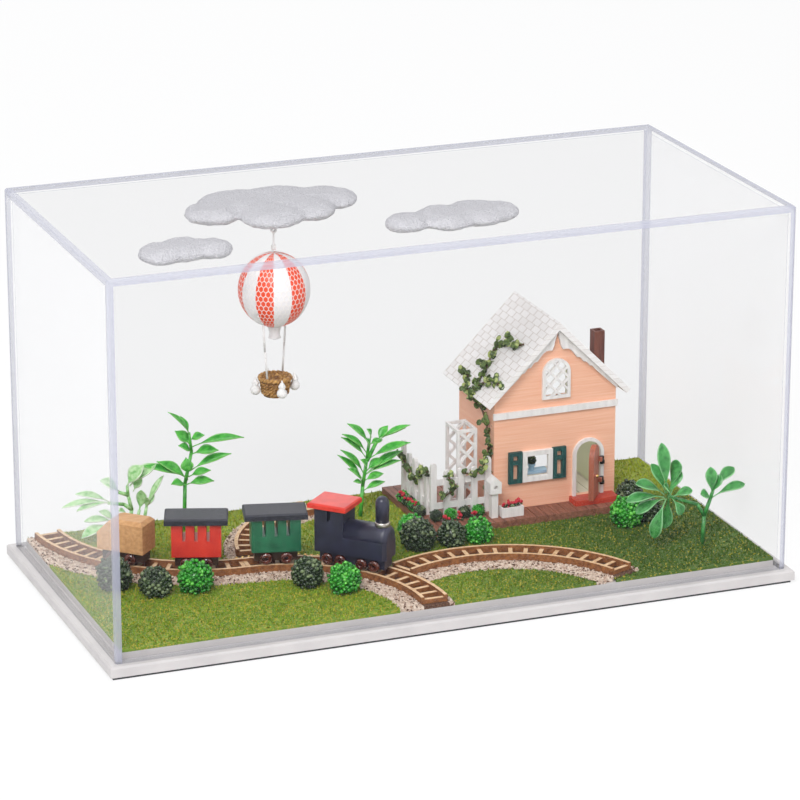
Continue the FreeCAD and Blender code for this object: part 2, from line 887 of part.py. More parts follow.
def make_shutters():
    """A shutter each side of the window, with a small square and a tall slot cut out."""
    low, high = window_levels()
    middle = (low + high) / 2
    left, right = window_span()
    y0 = house_front - shutter_thickness
    bottom = middle - shutter_height / 2
    shutters = []
    for x0 in (left - shutter_gap - shutter_width, right + shutter_gap):
        x1 = x0 + shutter_width
        top = bottom + shutter_height
        shutter = box(x0, x1, y0, house_front, bottom, top)
        square_bottom = top - shutter_border - shutter_square
        mid = (x0 + x1) / 2
        half = shutter_square / 2
        shutter = shutter.cut(box(mid - half, mid + half, y0, house_front, square_bottom, top - shutter_border))
        slot_top = square_bottom - shutter_border
        shutter = shutter.cut(box(mid - half, mid + half, y0, house_front, bottom + shutter_border, slot_top))
        shutters.append(shutter)
    return Part.makeCompound(shutters)


def make_door_frame():
    y0 = house_front - door_frame_proud
    spring = door_spring_level()
    outside = arch(door_mid, door_width, step_top, spring, y0, house_front)
    return outside.cut(arch(door_mid, door_opening, step_top, spring, y0, house_front))


def hinge_heights():
    return [step_top + level for level in hinge_levels]


def make_door_hinges():
    """Fixed half of each hinge: a plate on the frame, a lower barrel and its upright pin."""
    hinges = []
    face = house_front - door_frame_proud
    for level in hinge_heights():
        axis = V(hinge_x, hinge_y, 0)
        foot = axis + Z_AXIS * (level - hinge_barrel_height)
        barrel = bar(hinge_barrel_radius, foot, axis + Z_AXIS * level, hinge_barrel_sides)
        pin_top = level + hinge_barrel_gap + hinge_barrel_height
        pin = rod(hinge_pin_radius, foot, axis + Z_AXIS * pin_top)
        arm = box(
            hinge_x,
            hinge_x + door_border - door_leaf_clearance,
            hinge_y - hinge_pin_radius,
            face,
            level - hinge_barrel_height,
            level,
        )
        hinges.append(fuse([barrel, pin, arm]))
    return Part.makeCompound(hinges)


def make_door_leaf():
    """Arched leaf with its hinge eyes and knob, drawn shut and then turned to its half-open rest."""
    y0 = house_front - door_frame_proud
    y1 = y0 + door_leaf_thickness
    bottom = step_top + door_leaf_clearance
    leaf = arch(door_mid, door_opening - 2 * door_leaf_clearance, bottom, door_spring_level(), y0, y1)
    axis = V(hinge_x, hinge_y, 0)
    pieces = [leaf]
    for level in hinge_heights():
        low = level + hinge_barrel_gap
        high = low + hinge_barrel_height
        pieces.append(bar(hinge_barrel_radius, axis + Z_AXIS * low, axis + Z_AXIS * high, hinge_barrel_sides))
        strap_left = hinge_x - 3 * hinge_barrel_radius
        pieces.append(box(strap_left, hinge_x, hinge_y - hinge_pin_radius, y0, low, high))
    knob_x = door_mid - door_opening / 2 + door_border + door_knob_radius
    knob = V(knob_x, y0, step_top + door_knob_height)
    pieces.append(bar(door_knob_radius, knob, knob - Y_AXIS * door_knob_radius, hinge_barrel_sides))
    door = fuse(pieces)
    for level in hinge_heights():
        bore = hinge_pin_radius + hinge_bore_clearance
        low = level + hinge_barrel_gap
        door = door.cut(rod(bore, axis + Z_AXIS * low, axis + Z_AXIS * (low + hinge_barrel_height)))
    door.rotate(axis, Z_AXIS, door_open_angle)
    return door


def make_door_step():
    return box(
        door_mid - door_width / 2 - step_left,
        door_mid + door_width / 2 + step_right,
        house_front - step_depth,
        house_front,
        deck_top,
        step_top,
    )


def make_house_chimney(roof):
    """Square stack with an open flue, its foot cut to the slope of the roof."""
    x0 = house_mid + stack_offset - stack_width / 2
    x1 = x0 + stack_width
    y0 = house_front + stack_setback - stack_depth / 2
    y1 = y0 + stack_depth
    top = eaves_level + stack_above_eaves
    stack = box(x0, x1, y0, y1, eaves_level - roof_thickness, top)
    flue = box(x0 + flue_wall, x1 - flue_wall, y0 + flue_wall, y1 - flue_wall, top - flue_depth, top)
    return largest(stack.cut(flue).cut(roof))


# Garden
def deck_outline():
    return house_mid - deck_left, house_mid + deck_right, house_front - deck_front, house_back + deck_back


def make_deck():
    """Boards laid front to back, with a groove at every joint."""
    left, right, front, back = deck_outline()
    deck = box(left, right, front, back, turf_top, deck_top)
    grooves = []
    for index in range(1, int((right - left) / deck_board) + 1):
        x = left + index * deck_board
        half = deck_groove_width / 2
        grooves.append(box(x - half, x + half, front, back, deck_top - deck_groove_depth, deck_top))
    return deck.cut(Part.makeCompound(grooves))


def picket(x, y, height, along_x):
    """Upright board with an eased head."""
    half = picket_width / 2
    top = deck_top + height
    outline = [
        (-half, deck_top),
        (half, deck_top),
        (half, top - half),
        (half * roof_cos, top - half + half * roof_sin),
        (0, top),
        (-half * roof_cos, top - half + half * roof_sin),
        (-half, top - half),
    ]
    return placed(plate(outline, 0, picket_thickness), V(x, y, 0), 0 if along_x else 90)


def fence_side():
    """Outer side of the side run's pickets."""
    return house_mid - fence_corner - picket_width / 2


def make_fence():
    """Front run and side run of pickets on two rails, joined at the corner post."""
    left = house_mid - fence_corner
    front = house_front + fence_setback
    pieces = []
    for index in range(picket_bays + 1):
        end_post = index in (0, picket_bays)
        height = picket_height + (post_extra if end_post else 0)
        pieces.append(picket(left + fence_front_length * index / picket_bays, front, height, True))
    side_x = fence_side() + picket_thickness
    for index in range(1, picket_side_bays + 1):
        y = front + fence_side_length * index / picket_side_bays
        height = picket_height + (post_extra if index == picket_side_bays else 0)
        pieces.append(picket(side_x, y, height, False))
    back = front + fence_side_length
    for level in fence_rail_levels:
        low = deck_top + level
        high = low + fence_rail_height
        behind = front + picket_thickness / 2
        pieces.append(box(left, left + fence_front_length, behind, front + picket_thickness, low, high))
        pieces.append(box(side_x - picket_thickness / 2, side_x + picket_thickness / 2, front, back, low, high))
    return fuse(pieces)


def make_lattice(width, height, y0):
    """Panel of crossed diagonal bars in a border, standing on the deck about x = 0."""
    y1 = y0 + arbour_thickness
    half = width / 2
    inside = box(
        -half + lattice_border, half - lattice_border, y0, y1, deck_top + lattice_border, deck_top + height - lattice_border
    )
    border = box(-half, half, y0, y1, deck_top, deck_top + height).cut(inside)
    rows = int((width + height) / lattice_pitch / roof_cos / 2) + 1
    bars = []
    for turn in (45, -45):
        for index in range(-rows, rows + 1):
            slat = box(-height, height, y0, y1, -lattice_bar / 2, lattice_bar / 2)
            slat.translate(V(0, 0, index * lattice_pitch))
            slat.rotate(ORIGIN, Y_AXIS, turn)
            slat.translate(V(0, 0, deck_top + height / 2))
            clipped = slat.common(inside)
            if clipped.Solids:
                bars.append(clipped)
    return fuse([border] + bars)


def make_arbour():
    """Two lattice panels, one behind the other, with two bars across their tops."""
    middle = house_mid - arbour_mid
    pieces = []
    for y in (arbour_front, arbour_front + arbour_span):
        panel = make_lattice(arbour_width, arbour_height, y)
        panel.translate(V(middle, 0, 0))
        pieces.append(panel)
    top = deck_top + arbour_height
    for side in (-1, 1):
        outer = middle + side * arbour_width / 2
        inner = outer - side * lattice_border
        x0, x1 = sorted((outer, inner))
        back = arbour_front + arbour_span + arbour_thickness
        pieces.append(box(x0, x1, arbour_front, back, top - lattice_border, top))
    return fuse(pieces)


def make_birdhouse():
    """Gabled box with a round entrance, on a post."""
    x = house_mid - birdhouse_offset
    y = house_front - birdhouse_front
    half = birdhouse_width / 2
    floor = deck_top + birdhouse_post_height
    eaves = floor + birdhouse_wall_height
    outline = [
        (x - half, floor),
        (x + half, floor),
        (x + half, eaves),
        (x, eaves + birdhouse_gable),
        (x - half, eaves),
    ]
    house = plate(outline, y - half, y + half)
    entrance = V(x, y - half, floor + birdhouse_wall_height * 0.6)
    house = house.cut(rod(birdhouse_hole, entrance, entrance + Y_AXIS * birdhouse_hole_depth))
    post = box(
        x - birdhouse_post, x + birdhouse_post, y - birdhouse_post, y + birdhouse_post, deck_top, floor
    )
    return fuse([house, post])


def flower_box_outline():
    x0 = house_mid - box_offset
    y0 = house_front - box_front
    return x0, x0 + box_length, y0, y0 + box_depth


def make_flower_box():
    """Trough filled with soil to just below its edge."""
    x0, x1, y0, y1 = flower_box_outline()
    top = deck_top + box_height
    trough = box(x0, x1, y0, y1, deck_top, top)
    return trough.cut(box(x0 + box_wall, x1 - box_wall, y0 + box_wall, y1 - box_wall, top - box_soil, top))


def flower(x, y, level):
    """Flower head, flat where it sits."""
    head = egg(flower_radius, 2 * flower_radius, flower_sides, flower_rings)
    head.translate(V(x, y, level + flower_radius))
    return head


def make_flowers():
    """Red heads in the flower box and in front of the fence."""
    heads = []
    x0, x1, y0, y1 = flower_box_outline()
    soil = deck_top + box_height - box_soil
    for index in range(3):
        x = x0 + box_wall + flower_radius + index * (x1 - x0 - 2 * (box_wall + flower_radius)) / 2
        heads.append(flower(x, (y0 + y1) / 2, soil))
    for place in front_shrubs()[:-1]:
        heads.append(flower(place.x + shrub_pitch / 2, place.y - flower_setout, deck_top))
    return Part.makeCompound(heads)


def front_shrubs():
    """Places of the small shrubs in front of the fence."""
    x = house_mid - fence_corner
    y = house_front + fence_setback - shrub_radius - shrub_clearance
    return [V(x + index * shrub_pitch, y, 0) for index in range(shrub_count)]


def side_shrubs():
    """Places of the small shrubs between the side of the fence and the edge of the deck."""
    x = fence_side() - shrub_radius - shrub_clearance
    return [V(x, house_front + (index + 1) * shrub_pitch, 0) for index in range(shrub_count)]


def dome(x, y, radius, level, sides, rings):
    """Foam ball, flat where it is glued down."""
    ball = egg(radius, 2 * radius, sides, rings)
    ball.translate(V(x, y, level + radius * (1 - bush_sink)))
    reach = 2 * radius
    return ball.common(box(x - reach, x + reach, y - reach, y + reach, level, level + 2 * reach))


def make_bushes(track_plan, house_plan, shrubs, neighbours):
    """Foam balls on the turf and small ones on the deck, parted where they lean on woodwork."""
    plan = [(left_centre + V(x, y, 0), radius) for x, y, radius in track_plan]
    plan += [(house_place + V(x, y, 0), radius) for x, y, radius in house_plan]
    balls = [dome(place.x, place.y, radius, turf_top, bush_sides, bush_rings) for place, radius in plan]
    balls += [dome(place.x, place.y, shrub_radius, deck_top, shrub_sides, shrub_rings) for place in shrubs]
    parted = []
    for ball in balls:
        for piece in neighbours:
            if ball.BoundBox.intersect(piece.BoundBox):
                ball = ball.cut(piece)
        parted.append(ball)
    return Part.makeCompound(parted)


def make_leaf(base, direction, length, width):
    """Flat leaf from its base along a direction, widest past its middle."""
    half = width / 2
    outline = [(0, 0), (length * 0.55, -half), (length, 0), (length * 0.55, half)]
    leaf = facet([V(x, y, -leaf_thickness / 2) for x, y in outline]).extrude(V(0, 0, leaf_thickness))
    leaf.Placement = FreeCAD.Placement(base, FreeCAD.Rotation(X_AXIS, direction))
    return leaf


def make_plants():
    """Stems with leaves set round them in a spiral, steeper towards the top and flattened front to back."""
    solids = []
    for foot, stems in plants:
        foot = foot + V(0, 0, turf_top)
        pieces = []
        for top, length, width, count, bare in stems:
            pieces.append(bar(stem_radius, foot, foot + top))
            for index in range(count):
                step = index / (count - 1)
                turn = math.radians(index * leaf_turn)
                rise = math.radians(leaf_lowest + (leaf_highest - leaf_lowest) * step)
                flat = V(math.cos(turn), math.sin(turn) * leaf_depth, 0) * math.cos(rise)
                base = foot + top * (bare + (1 - bare) * step)
                pieces.append(make_leaf(base, flat + Z_AXIS * math.sin(rise), length, width))
        plant = fuse(pieces)
        reach = plant.BoundBox.DiagonalLength
        above = box(foot.x - reach, foot.x + reach, foot.y - reach, foot.y + reach, turf_top, turf_top + reach)
        solids.append(plant.common(above))
    return Part.makeCompound(solids)


def roof_top(x):
    """Level of the roof's outer face above a point."""
    return ridge_level - abs(x - house_mid) * roof_slope


def ivy_leaf(centre, face_turn):
    """Small many-sided leaf, flat against the wall or tilted to the slope of the roof."""
    leaf = faceted([(ivy_leaf_radius, -ivy_leaf_thickness / 2), (ivy_leaf_radius, ivy_leaf_thickness / 2)], 6)
    leaf.rotate(ORIGIN, *face_turn)
    leaf.translate(centre)
    return leaf


def ivy_leaves(route, aside, face_turn):
    """Leaves on alternate sides of a route."""
    leaves = []
    for start, end in zip(route, route[1:]):
        count = max(1, int((end - start).Length / ivy_leaf_pitch))
        for index in range(count):
            side = 1 if index % 2 else -1
            leaves.append(ivy_leaf(start + (end - start) * ((index + 1) / count) + aside * side, face_turn))
    return leaves


def make_ivy():
    """Stem up the left wall near its front corner, out round the eaves, then three runs over the left slope."""
    wall_x = house_left - ivy_standoff
    foot = V(wall_x, house_front + ivy_setback, deck_top)
    climb = foot + Z_AXIS * ivy_climb
    bend = climb + V(0, ivy_lean, ivy_lean_rise)
    reach = house_width / 2 + eave_overhang * roof_cos + roof_thickness * roof_sin
    eave_x = house_mid - reach
    eave_y = house_front + ivy_eave_setback
    below = V(eave_x - ivy_eave_clearance, eave_y, roof_top(eave_x) - roof_thickness)
    beside = V(eave_x - ivy_eave_clearance, eave_y, roof_top(eave_x) + ivy_radius)
    aside = V(0, ivy_leaf_radius - ivy_radius, 0)
    lift = 2 * ivy_radius / roof_cos
    over = V(eave_x + ivy_radius, eave_y, roof_top(eave_x + ivy_radius) + lift)
    stem = [foot, climb, bend, below, beside, over]
    pieces = [bar(ivy_radius, start, end) for start, end in zip(stem, stem[1:])]
    pieces += ivy_leaves([foot, climb, bend], aside, (Y_AXIS, 90))
    for run in ivy_roof_runs:
        route = [over] + [V(over.x + x, over.y + y, roof_top(over.x + x) + lift) for x, y in run]
        pieces += [bar(ivy_radius, start, end) for start, end in zip(route, route[1:])]
        pieces += ivy_leaves(route, aside, (Y_AXIS, -roof_pitch))
    return fuse(pieces)


# Hung under the ceiling
def make_cloud(middle, lobes):
    """Flat cloud of round lobes, bevelled below and glued to the ceiling."""
    solids = []
    for dx, dy, radius in lobes:
        foot = middle + V(dx, dy, cloud_bottom)
        profile = [(radius - cloud_bevel, 0), (radius, cloud_bevel), (radius, cloud_thickness)]
        lobe = faceted(profile, cloud_sides)
        lobe.translate(foot)
        solids.append(lobe)
    return fuse(solids)


def wire_loop(level, along, towards):
    """Bent wire with a straight bar along one axis and two legs that run up or down from it."""
    centre = balloon_place + Z_AXIS * level
    half = along * (loop_length / 2)
    legs = Z_AXIS * towards
    past = along * loop_wire_radius
    cross = rod(loop_wire_radius, centre - half - past, centre + half + past)
    sides = [bar(loop_wire_radius, centre + half * side, centre + half * side + legs, 4) for side in (-1, 1)]
    return [cross] + sides


def make_large_cloud():
    cloud = make_cloud(large_cloud_middle, large_cloud_lobes)
    return fuse([cloud] + wire_loop(upper_loop, Y_AXIS, loop_drop + loop_wire_radius))


def eye(level, along):
    centre = balloon_place + Z_AXIS * level
    half = along * (eye_width / 2)
    outside = bar(eye_radius, centre - half, centre + half, eye_sides)
    return outside, rod(loop_wire_radius + loop_clearance, centre - half, centre + half)


def make_thread():
    """Thread with an eye at each end: the upper turns about Y, the lower about X."""
    upper, upper_bore = eye(upper_loop, Y_AXIS)
    lower, lower_bore = eye(lower_loop, X_AXIS)
    line = bar(thread_radius, balloon_place + Z_AXIS * lower_loop, balloon_place + Z_AXIS * upper_loop)
    return fuse([upper, lower, line]).cut(upper_bore).cut(lower_bore)


def make_envelope():
    """Egg of sewn gores with a wire loop at its crown."""
    ball = egg(envelope_radius, envelope_height, envelope_gores, envelope_rings)
    ball.translate(balloon_place + Z_AXIS * envelope_middle)
    return fuse([ball] + wire_loop(lower_loop, X_AXIS, -loop_drop - loop_wire_radius))


def make_neck():
    neck = faceted([(neck_bottom_radius, envelope_bottom - neck_length), (neck_top_radius, envelope_bottom)], envelope_gores)
    neck.translate(balloon_place)
    return neck


def make_basket():
    """Tapered tub with a thick rim."""
    bottom = -basket_height
    rim = basket_rim_radius
    outside = faceted(
        [
            (basket_bottom_radius, bottom),
            (basket_top_radius, -rim),
            (basket_top_radius + rim, 0),
            (basket_top_radius, rim),
        ],
        basket_sides,
    )
    inside = faceted(
        [(basket_bottom_radius - basket_wall, bottom + basket_wall), (basket_top_radius - basket_wall, rim)],
        basket_sides,
    )
    basket = outside.cut(inside)
    basket.translate(balloon_place + Z_AXIS * basket_top)
    return basket


def make_ropes(envelope, basket):
    """Straight ropes from the envelope's shoulders down to the rim."""
    ropes = []
    lean = math.radians(rope_attach_angle)
    for index in range(rope_count):
        turn = math.radians(rope_turn + 360 * index / rope_count)
        out = V(math.cos(turn), math.sin(turn), 0)
        top = balloon_place + out * (envelope_radius * math.cos(lean))
        top = top + Z_AXIS * (envelope_middle - envelope_height / 2 * math.sin(lean))
        foot = balloon_place + out * (basket_top_radius - basket_wall / 2) + Z_AXIS * basket_top
        rope = bar(rope_radius, foot, top + (top - foot).normalize() * rope_radius)
        rope = rope.cut(envelope).cut(basket)
        ropes.append(largest(rope))
    return Part.makeCompound(ropes)


def make_sandbags():
    """Four drop-shaped weights hung round the basket, below its rim."""
    bags = []
    profile = [
        (sandbag_radius * 0.5, 0),
        (sandbag_radius, sandbag_radius * 0.8),
        (sandbag_radius * 0.8, sandbag_radius * 1.7),
        (rope_radius, sandbag_length),
    ]
    for quarter in range(4):
        turn = math.radians(90 * quarter)
        out = V(math.cos(turn), math.sin(turn), 0)
        clear = basket_top_radius + sandbag_radius + sandbag_clearance
        bag = faceted(profile, sandbag_sides)
        bag.translate(balloon_place + out * clear + Z_AXIS * (basket_top - basket_rim_radius - sandbag_length))
        bags.append(bag)
    return Part.makeCompound(bags)


def train_nodes():
    """Every vehicle of the train at its place on the track."""
    nodes = {}
    boiler = make_boiler()
    loco = {
        "loco_frame": make_loco_frame(),
        "loco_boiler": boiler,
        "loco_cab": make_cab(),
        "loco_cab_roof": make_cab_roof(),
        "loco_chimney": make_chimney(boiler),
    }
    vehicles = (
        ("loco", loco, loco_axles(), right_centre, right_radius, loco_angle, -90),
        (
            "green_coach",
            {"green_coach_body": make_coach_body(), "green_coach_roof": make_coach_roof()},
            coach_axles(),
            right_centre,
            right_radius,
            green_angle,
            -90,
        ),
        (
            "red_coach",
            {"red_coach_body": make_coach_body(), "red_coach_roof": make_coach_roof()},
            coach_axles(),
            left_centre,
            left_radius,
            red_angle,
            90,
        ),
        ("wagon", {"wagon_body": make_wagon_body()}, coach_axles(), left_centre, left_radius, wagon_angle, 90),
    )
    for name, pieces, axles, centre, radius, angle, quarter in vehicles:
        place = on_curve(centre, radius, angle) + V(0, 0, rail_top)
        heading = angle + quarter
        for index, along in enumerate(axles, 1):
            pieces[f"{name}_axle_{index}"] = make_wheelset(along)
        for node, shape in pieces.items():
            nodes[node] = placed(shape, place, heading)
    return nodes


def build():
    nodes = {"underside_mat": make_mat(), "base_tray": make_tray(), "clear_cover": make_cover()}
    nodes["ballast_bed"] = make_ballast()
    nodes["turf_sheets"] = make_turf(nodes["ballast_bed"])
    left_length = make_track(left_centre, left_radius, (left_start, inflection))
    right_length = make_track(right_centre, right_radius, (right_end, right_start))
    nodes["main_track"] = Part.makeCompound([left_length, right_length])
    nodes["branch_track"] = make_track(branch_centre, branch_radius, branch_angles)
    nodes["rear_track"] = make_track(rear_centre, rear_radius, rear_angles)
    nodes.update(train_nodes())
    nodes["house_front_wall"] = make_front_wall()
    nodes["house_side_walls"] = make_side_walls()
    nodes["window_plant"] = make_window_plant()
    nodes["roof_panels"] = make_roof_panels()
    nodes["bargeboards"] = make_bargeboards()
    nodes["string_course"] = make_string_course()
    nodes["window_frames"] = make_window_frames()
    nodes["shutters"] = make_shutters()
    nodes["door_frame"] = make_door_frame()
    nodes["door_hinges"] = make_door_hinges()
    nodes["door_leaf"] = make_door_leaf()
    nodes["door_step"] = make_door_step()
    nodes["house_chimney"] = make_house_chimney(nodes["roof_panels"])
    nodes["deck"] = make_deck()
    nodes["fence"] = make_fence()
    nodes["arbour"] = make_arbour()
    nodes["birdhouse"] = make_birdhouse()
    nodes["flower_box"] = make_flower_box()
    nodes["flowers"] = make_flowers()
    shrubs = front_shrubs() + side_shrubs()
    ground = [nodes["deck"], nodes["door_step"]]
    nodes["bushes_dark"] = make_bushes(dark_track_bushes, dark_house_bushes, shrubs[0::2], ground)
    nodes["bushes_bright"] = make_bushes(bright_track_bushes, bright_house_bushes, shrubs[1::2], ground)
    nodes["plastic_plants"] = make_plants()
    nodes["ivy"] = make_ivy()
    nodes["cloud_large"] = make_large_cloud()
    nodes["cloud_left"] = make_cloud(left_cloud_middle, left_cloud_lobes)
    nodes["cloud_right"] = make_cloud(right_cloud_middle, right_cloud_lobes)
    nodes["hanging_thread"] = make_thread()
    nodes["balloon_envelope"] = make_envelope()
    nodes["balloon_neck"] = make_neck()
    nodes["basket"] = make_basket()
    nodes["basket_ropes"] = make_ropes(nodes["balloon_envelope"], nodes["basket"])
    nodes["sandbags"] = make_sandbags()
    return nodes


def main():
    os.makedirs("parts", exist_ok=True)
    for node, shape in build().items():
        shape.exportStep(f"parts/{node}.step")
        print(f"{node}: {len(shape.Solids)} solid(s), {shape.Volume:.1f} mm3")


main()
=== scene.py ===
# %% [markdown]
# # A display case with a railway garden
# The object is a clear case over a shallow tray. Inside stand a wooden train on a curved track, a small
# house with a garden, four plastic plants, and a balloon that hangs from a cloud under the lid.
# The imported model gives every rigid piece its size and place. This lesson dresses it: hard pieces keep
# their shape and get a finish, and soft or grainy ones are modelled anew where the model has a plain solid.

# %% Load the frame
import bpy
import bmesh
import json
import math
import random
from mathutils import Matrix, Vector, noise


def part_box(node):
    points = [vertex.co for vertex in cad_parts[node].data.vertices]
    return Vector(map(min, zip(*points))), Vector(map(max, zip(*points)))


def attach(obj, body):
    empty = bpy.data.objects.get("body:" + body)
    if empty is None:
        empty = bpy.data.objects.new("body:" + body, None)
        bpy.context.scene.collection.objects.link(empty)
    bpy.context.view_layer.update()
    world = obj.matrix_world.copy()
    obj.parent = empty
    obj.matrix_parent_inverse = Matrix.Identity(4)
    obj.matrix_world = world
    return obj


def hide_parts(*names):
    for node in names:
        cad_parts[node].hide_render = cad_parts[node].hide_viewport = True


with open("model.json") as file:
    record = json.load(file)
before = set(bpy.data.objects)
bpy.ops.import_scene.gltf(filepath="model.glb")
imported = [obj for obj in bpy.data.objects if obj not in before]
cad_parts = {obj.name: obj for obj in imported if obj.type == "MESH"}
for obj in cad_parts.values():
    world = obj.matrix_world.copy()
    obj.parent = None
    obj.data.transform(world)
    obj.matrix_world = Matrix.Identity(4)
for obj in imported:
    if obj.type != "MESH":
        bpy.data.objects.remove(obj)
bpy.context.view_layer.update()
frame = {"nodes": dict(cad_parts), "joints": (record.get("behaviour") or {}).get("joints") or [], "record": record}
MM = 0.001
nodes = frame["nodes"]
joint_of = {joint["child"]: joint for joint in frame["joints"]}

# %% [markdown]
# ## Camera
# The case was photographed from the front left and a little above, from far away with a long lens,
# so its edges stay almost parallel. The angles come from fitting the straight edges of the case.

# %% Camera
view_target = Vector((0, 0, 60)) * MM
view_azimuth = math.radians(-21.18)
view_elevation = math.radians(18.47)
view_distance = 1.317
camera = bpy.data.objects.new("camera", bpy.data.cameras.new("camera"))
bpy.context.collection.objects.link(camera)
camera.data.sensor_width = 36.0
camera.data.lens = 177.2
camera.data.shift_x = 0.0035
camera.data.shift_y = 0.00205
level = math.cos(view_elevation)
back = Vector((math.sin(view_azimuth) * level, -math.cos(view_azimuth) * level, math.sin(view_elevation)))
camera.location = view_target + back * view_distance
camera.rotation_euler = back.to_track_quat("Z", "Y").to_euler()
bpy.context.scene.camera = camera
bpy.context.scene.view_settings.view_transform = "Standard"
print("camera", [round(value, 3) for value in camera.location])

# %% [markdown]
# ## Nodes
# A finish is a small graph of nodes. It could be drawn by hand in the shader editor, but in a script each
# node is one line that can be read. One function turns a web colour into Blender's linear colour, one sets
# the inputs of a node, and one adds a node with its settings and inputs. On a Mix node for colours, inputs 6
# and 7 take the two colours and input 0 their share.

# %% Nodes
def linear(code):
    """Linear colour from an sRGB hex value."""
    parts = [int(code[index:index + 2], 16) / 255 for index in (1, 3, 5)]
    return tuple(p / 12.92 if p <= 0.04045 else ((p + 0.055) / 1.055) ** 2.4 for p in parts) + (1.0,)


def feed(tree, node, inputs):
    """Sets inputs by number or name. Each is a value, a hex colour, or a node or socket to link from."""
    for socket, source in inputs.items() if isinstance(inputs, dict) else enumerate(inputs):
        if isinstance(source, bpy.types.Node):
            source = next(output for output in source.outputs if output.enabled)
        if isinstance(source, bpy.types.NodeSocket):
            tree.links.new(source, node.inputs[socket])
        else:
            node.inputs[socket].default_value = linear(source) if isinstance(source, str) else source


def add(tree, kind, inputs=(), **settings):
    """Adds one node, with its settings and its inputs."""
    node = tree.nodes.new("ShaderNode" + kind)
    for name, setting in settings.items():
        setattr(node, name, setting)
    feed(tree, node, inputs)
    return node

# %% [markdown]
# ## Patterns and coats
# Some small graphs come up again and again: the place of a point, noise in blots, random grains, a bump and
# a material in two tones. Their sizes are in millimetres, so that a pattern can be checked against the real
# thing. They read Object coordinates, which stay with a piece when it moves.

# %% Patterns and coats
def surface(name, roughness, **values):
    """A new material with a Principled shader, ready for its colour and bump."""
    material = bpy.data.materials.new(name)
    material.use_nodes = True
    tree = material.node_tree
    tree.nodes.clear()
    shader = add(tree, "BsdfPrincipled", {"Roughness": roughness, **values})
    add(tree, "OutputMaterial", {"Surface": shader})
    return material, tree, shader


def per_mm(*sizes):
    """Pattern scale from the size of one repeat in millimetres."""
    return tuple(1 / (size * MM) for size in sizes)


def place_on(tree, coordinate="Object"):
    """X, Y and Z of a point on the piece in metres, or of its normal."""
    return add(tree, "SeparateXYZ", (add(tree, "TexCoord").outputs[coordinate],)).outputs


def mottle(tree, *sizes, detail=3.0):
    """Noise in blots of a size in millimetres, or of three sizes along X, Y and Z, spread from 0 to 1."""
    scale = per_mm(*(sizes * 3 if len(sizes) == 1 else sizes))
    scaled = add(tree, "Mapping", {"Scale": scale, "Vector": add(tree, "TexCoord").outputs["Object"]})
    blots = add(tree, "TexNoise", {"Scale": 1.0, "Detail": detail, "Vector": scaled})
    return add(tree, "MapRange", (blots, 0.3, 0.7))


def grains(tree, size):
    """Three random values for each grain of a size in millimetres."""
    place = add(tree, "TexCoord").outputs["Object"]
    cells = add(tree, "TexVoronoi", {"Scale": per_mm(size)[0], "Vector": place})
    return add(tree, "SeparateColor", (cells.outputs["Color"],)).outputs


def coat(tree, shader, colour, height=None, lift=0.2, depth=0.2):
    """Links a colour to the shader, and a bump from a height pattern of some depth in millimetres."""
    feed(tree, shader, {"Base Color": colour})
    if height is not None:
        bump = add(tree, "Bump", {"Strength": lift, "Distance": depth * MM, "Height": height})
        feed(tree, shader, {"Normal": bump})


def mottled(name, dark, light, size, roughness, lift=0.1, **values):
    """A material in two tones, in blots of a size in millimetres."""
    material, tree, shader = surface(name, roughness, **values)
    blots = mottle(tree, size)
    coat(tree, shader, add(tree, "Mix", {0: blots, 6: dark, 7: light}, data_type="RGBA"), blots, lift)
    return material


def dress(material, *names):
    """Puts a finish on nodes that keep their shape."""
    for name in names:
        slots = nodes[name].data.materials
        slots.clear()
        slots.append(material)

# %% [markdown]
# ## Light
# The photograph has very soft light from all sides. The world gives an even glow, one large lamp from the
# upper left front gives the faces their slight difference, and two weak lamps open the shadows. To the
# camera, and through or in the clear walls, the world is plain white.

# %% Light
scene_world = bpy.data.worlds.new("pale_studio")
bpy.context.scene.world = scene_world
scene_world.use_nodes = True
sky = scene_world.node_tree
sky.nodes.clear()
ray = add(sky, "LightPath").outputs
seen = add(sky, "Math", (ray["Is Camera Ray"], ray["Is Glossy Ray"]), operation="MAXIMUM")
seen = add(sky, "Math", (seen, ray["Is Transmission Ray"]), operation="MAXIMUM")
glow = add(sky, "Background", {"Color": "#F4F5F8", "Strength": 0.5})
plain = add(sky, "Background", {"Color": "#FFFFFF", "Strength": 1.0})
either = add(sky, "MixShader", (seen, glow, plain))
add(sky, "OutputWorld", {"Surface": either})

for name, place, size, power in (
    ("key_lamp", (-0.75, -1.0, 1.25), 0.9, 27.0),
    ("fill_lamp", (1.1, -0.8, 0.8), 1.0, 4.5),
    ("back_lamp", (0.2, 1.2, 1.0), 0.9, 5.0),
):
    lamp = bpy.data.objects.new(name, bpy.data.lights.new(name, "AREA"))
    lamp.data.size = size
    lamp.data.energy = power
    lamp.location = place
    lamp.rotation_euler = (Vector(place) - view_target).to_track_quat("Z", "Y").to_euler()
    bpy.context.collection.objects.link(lamp)
print("lamps", len(bpy.data.lights))

# %% [markdown]
# ## Floor
# The case stands on white paper. More light would whiten it, but would bleach the case as well, so the floor
# glows a little for the camera alone. It still takes a faint shadow.

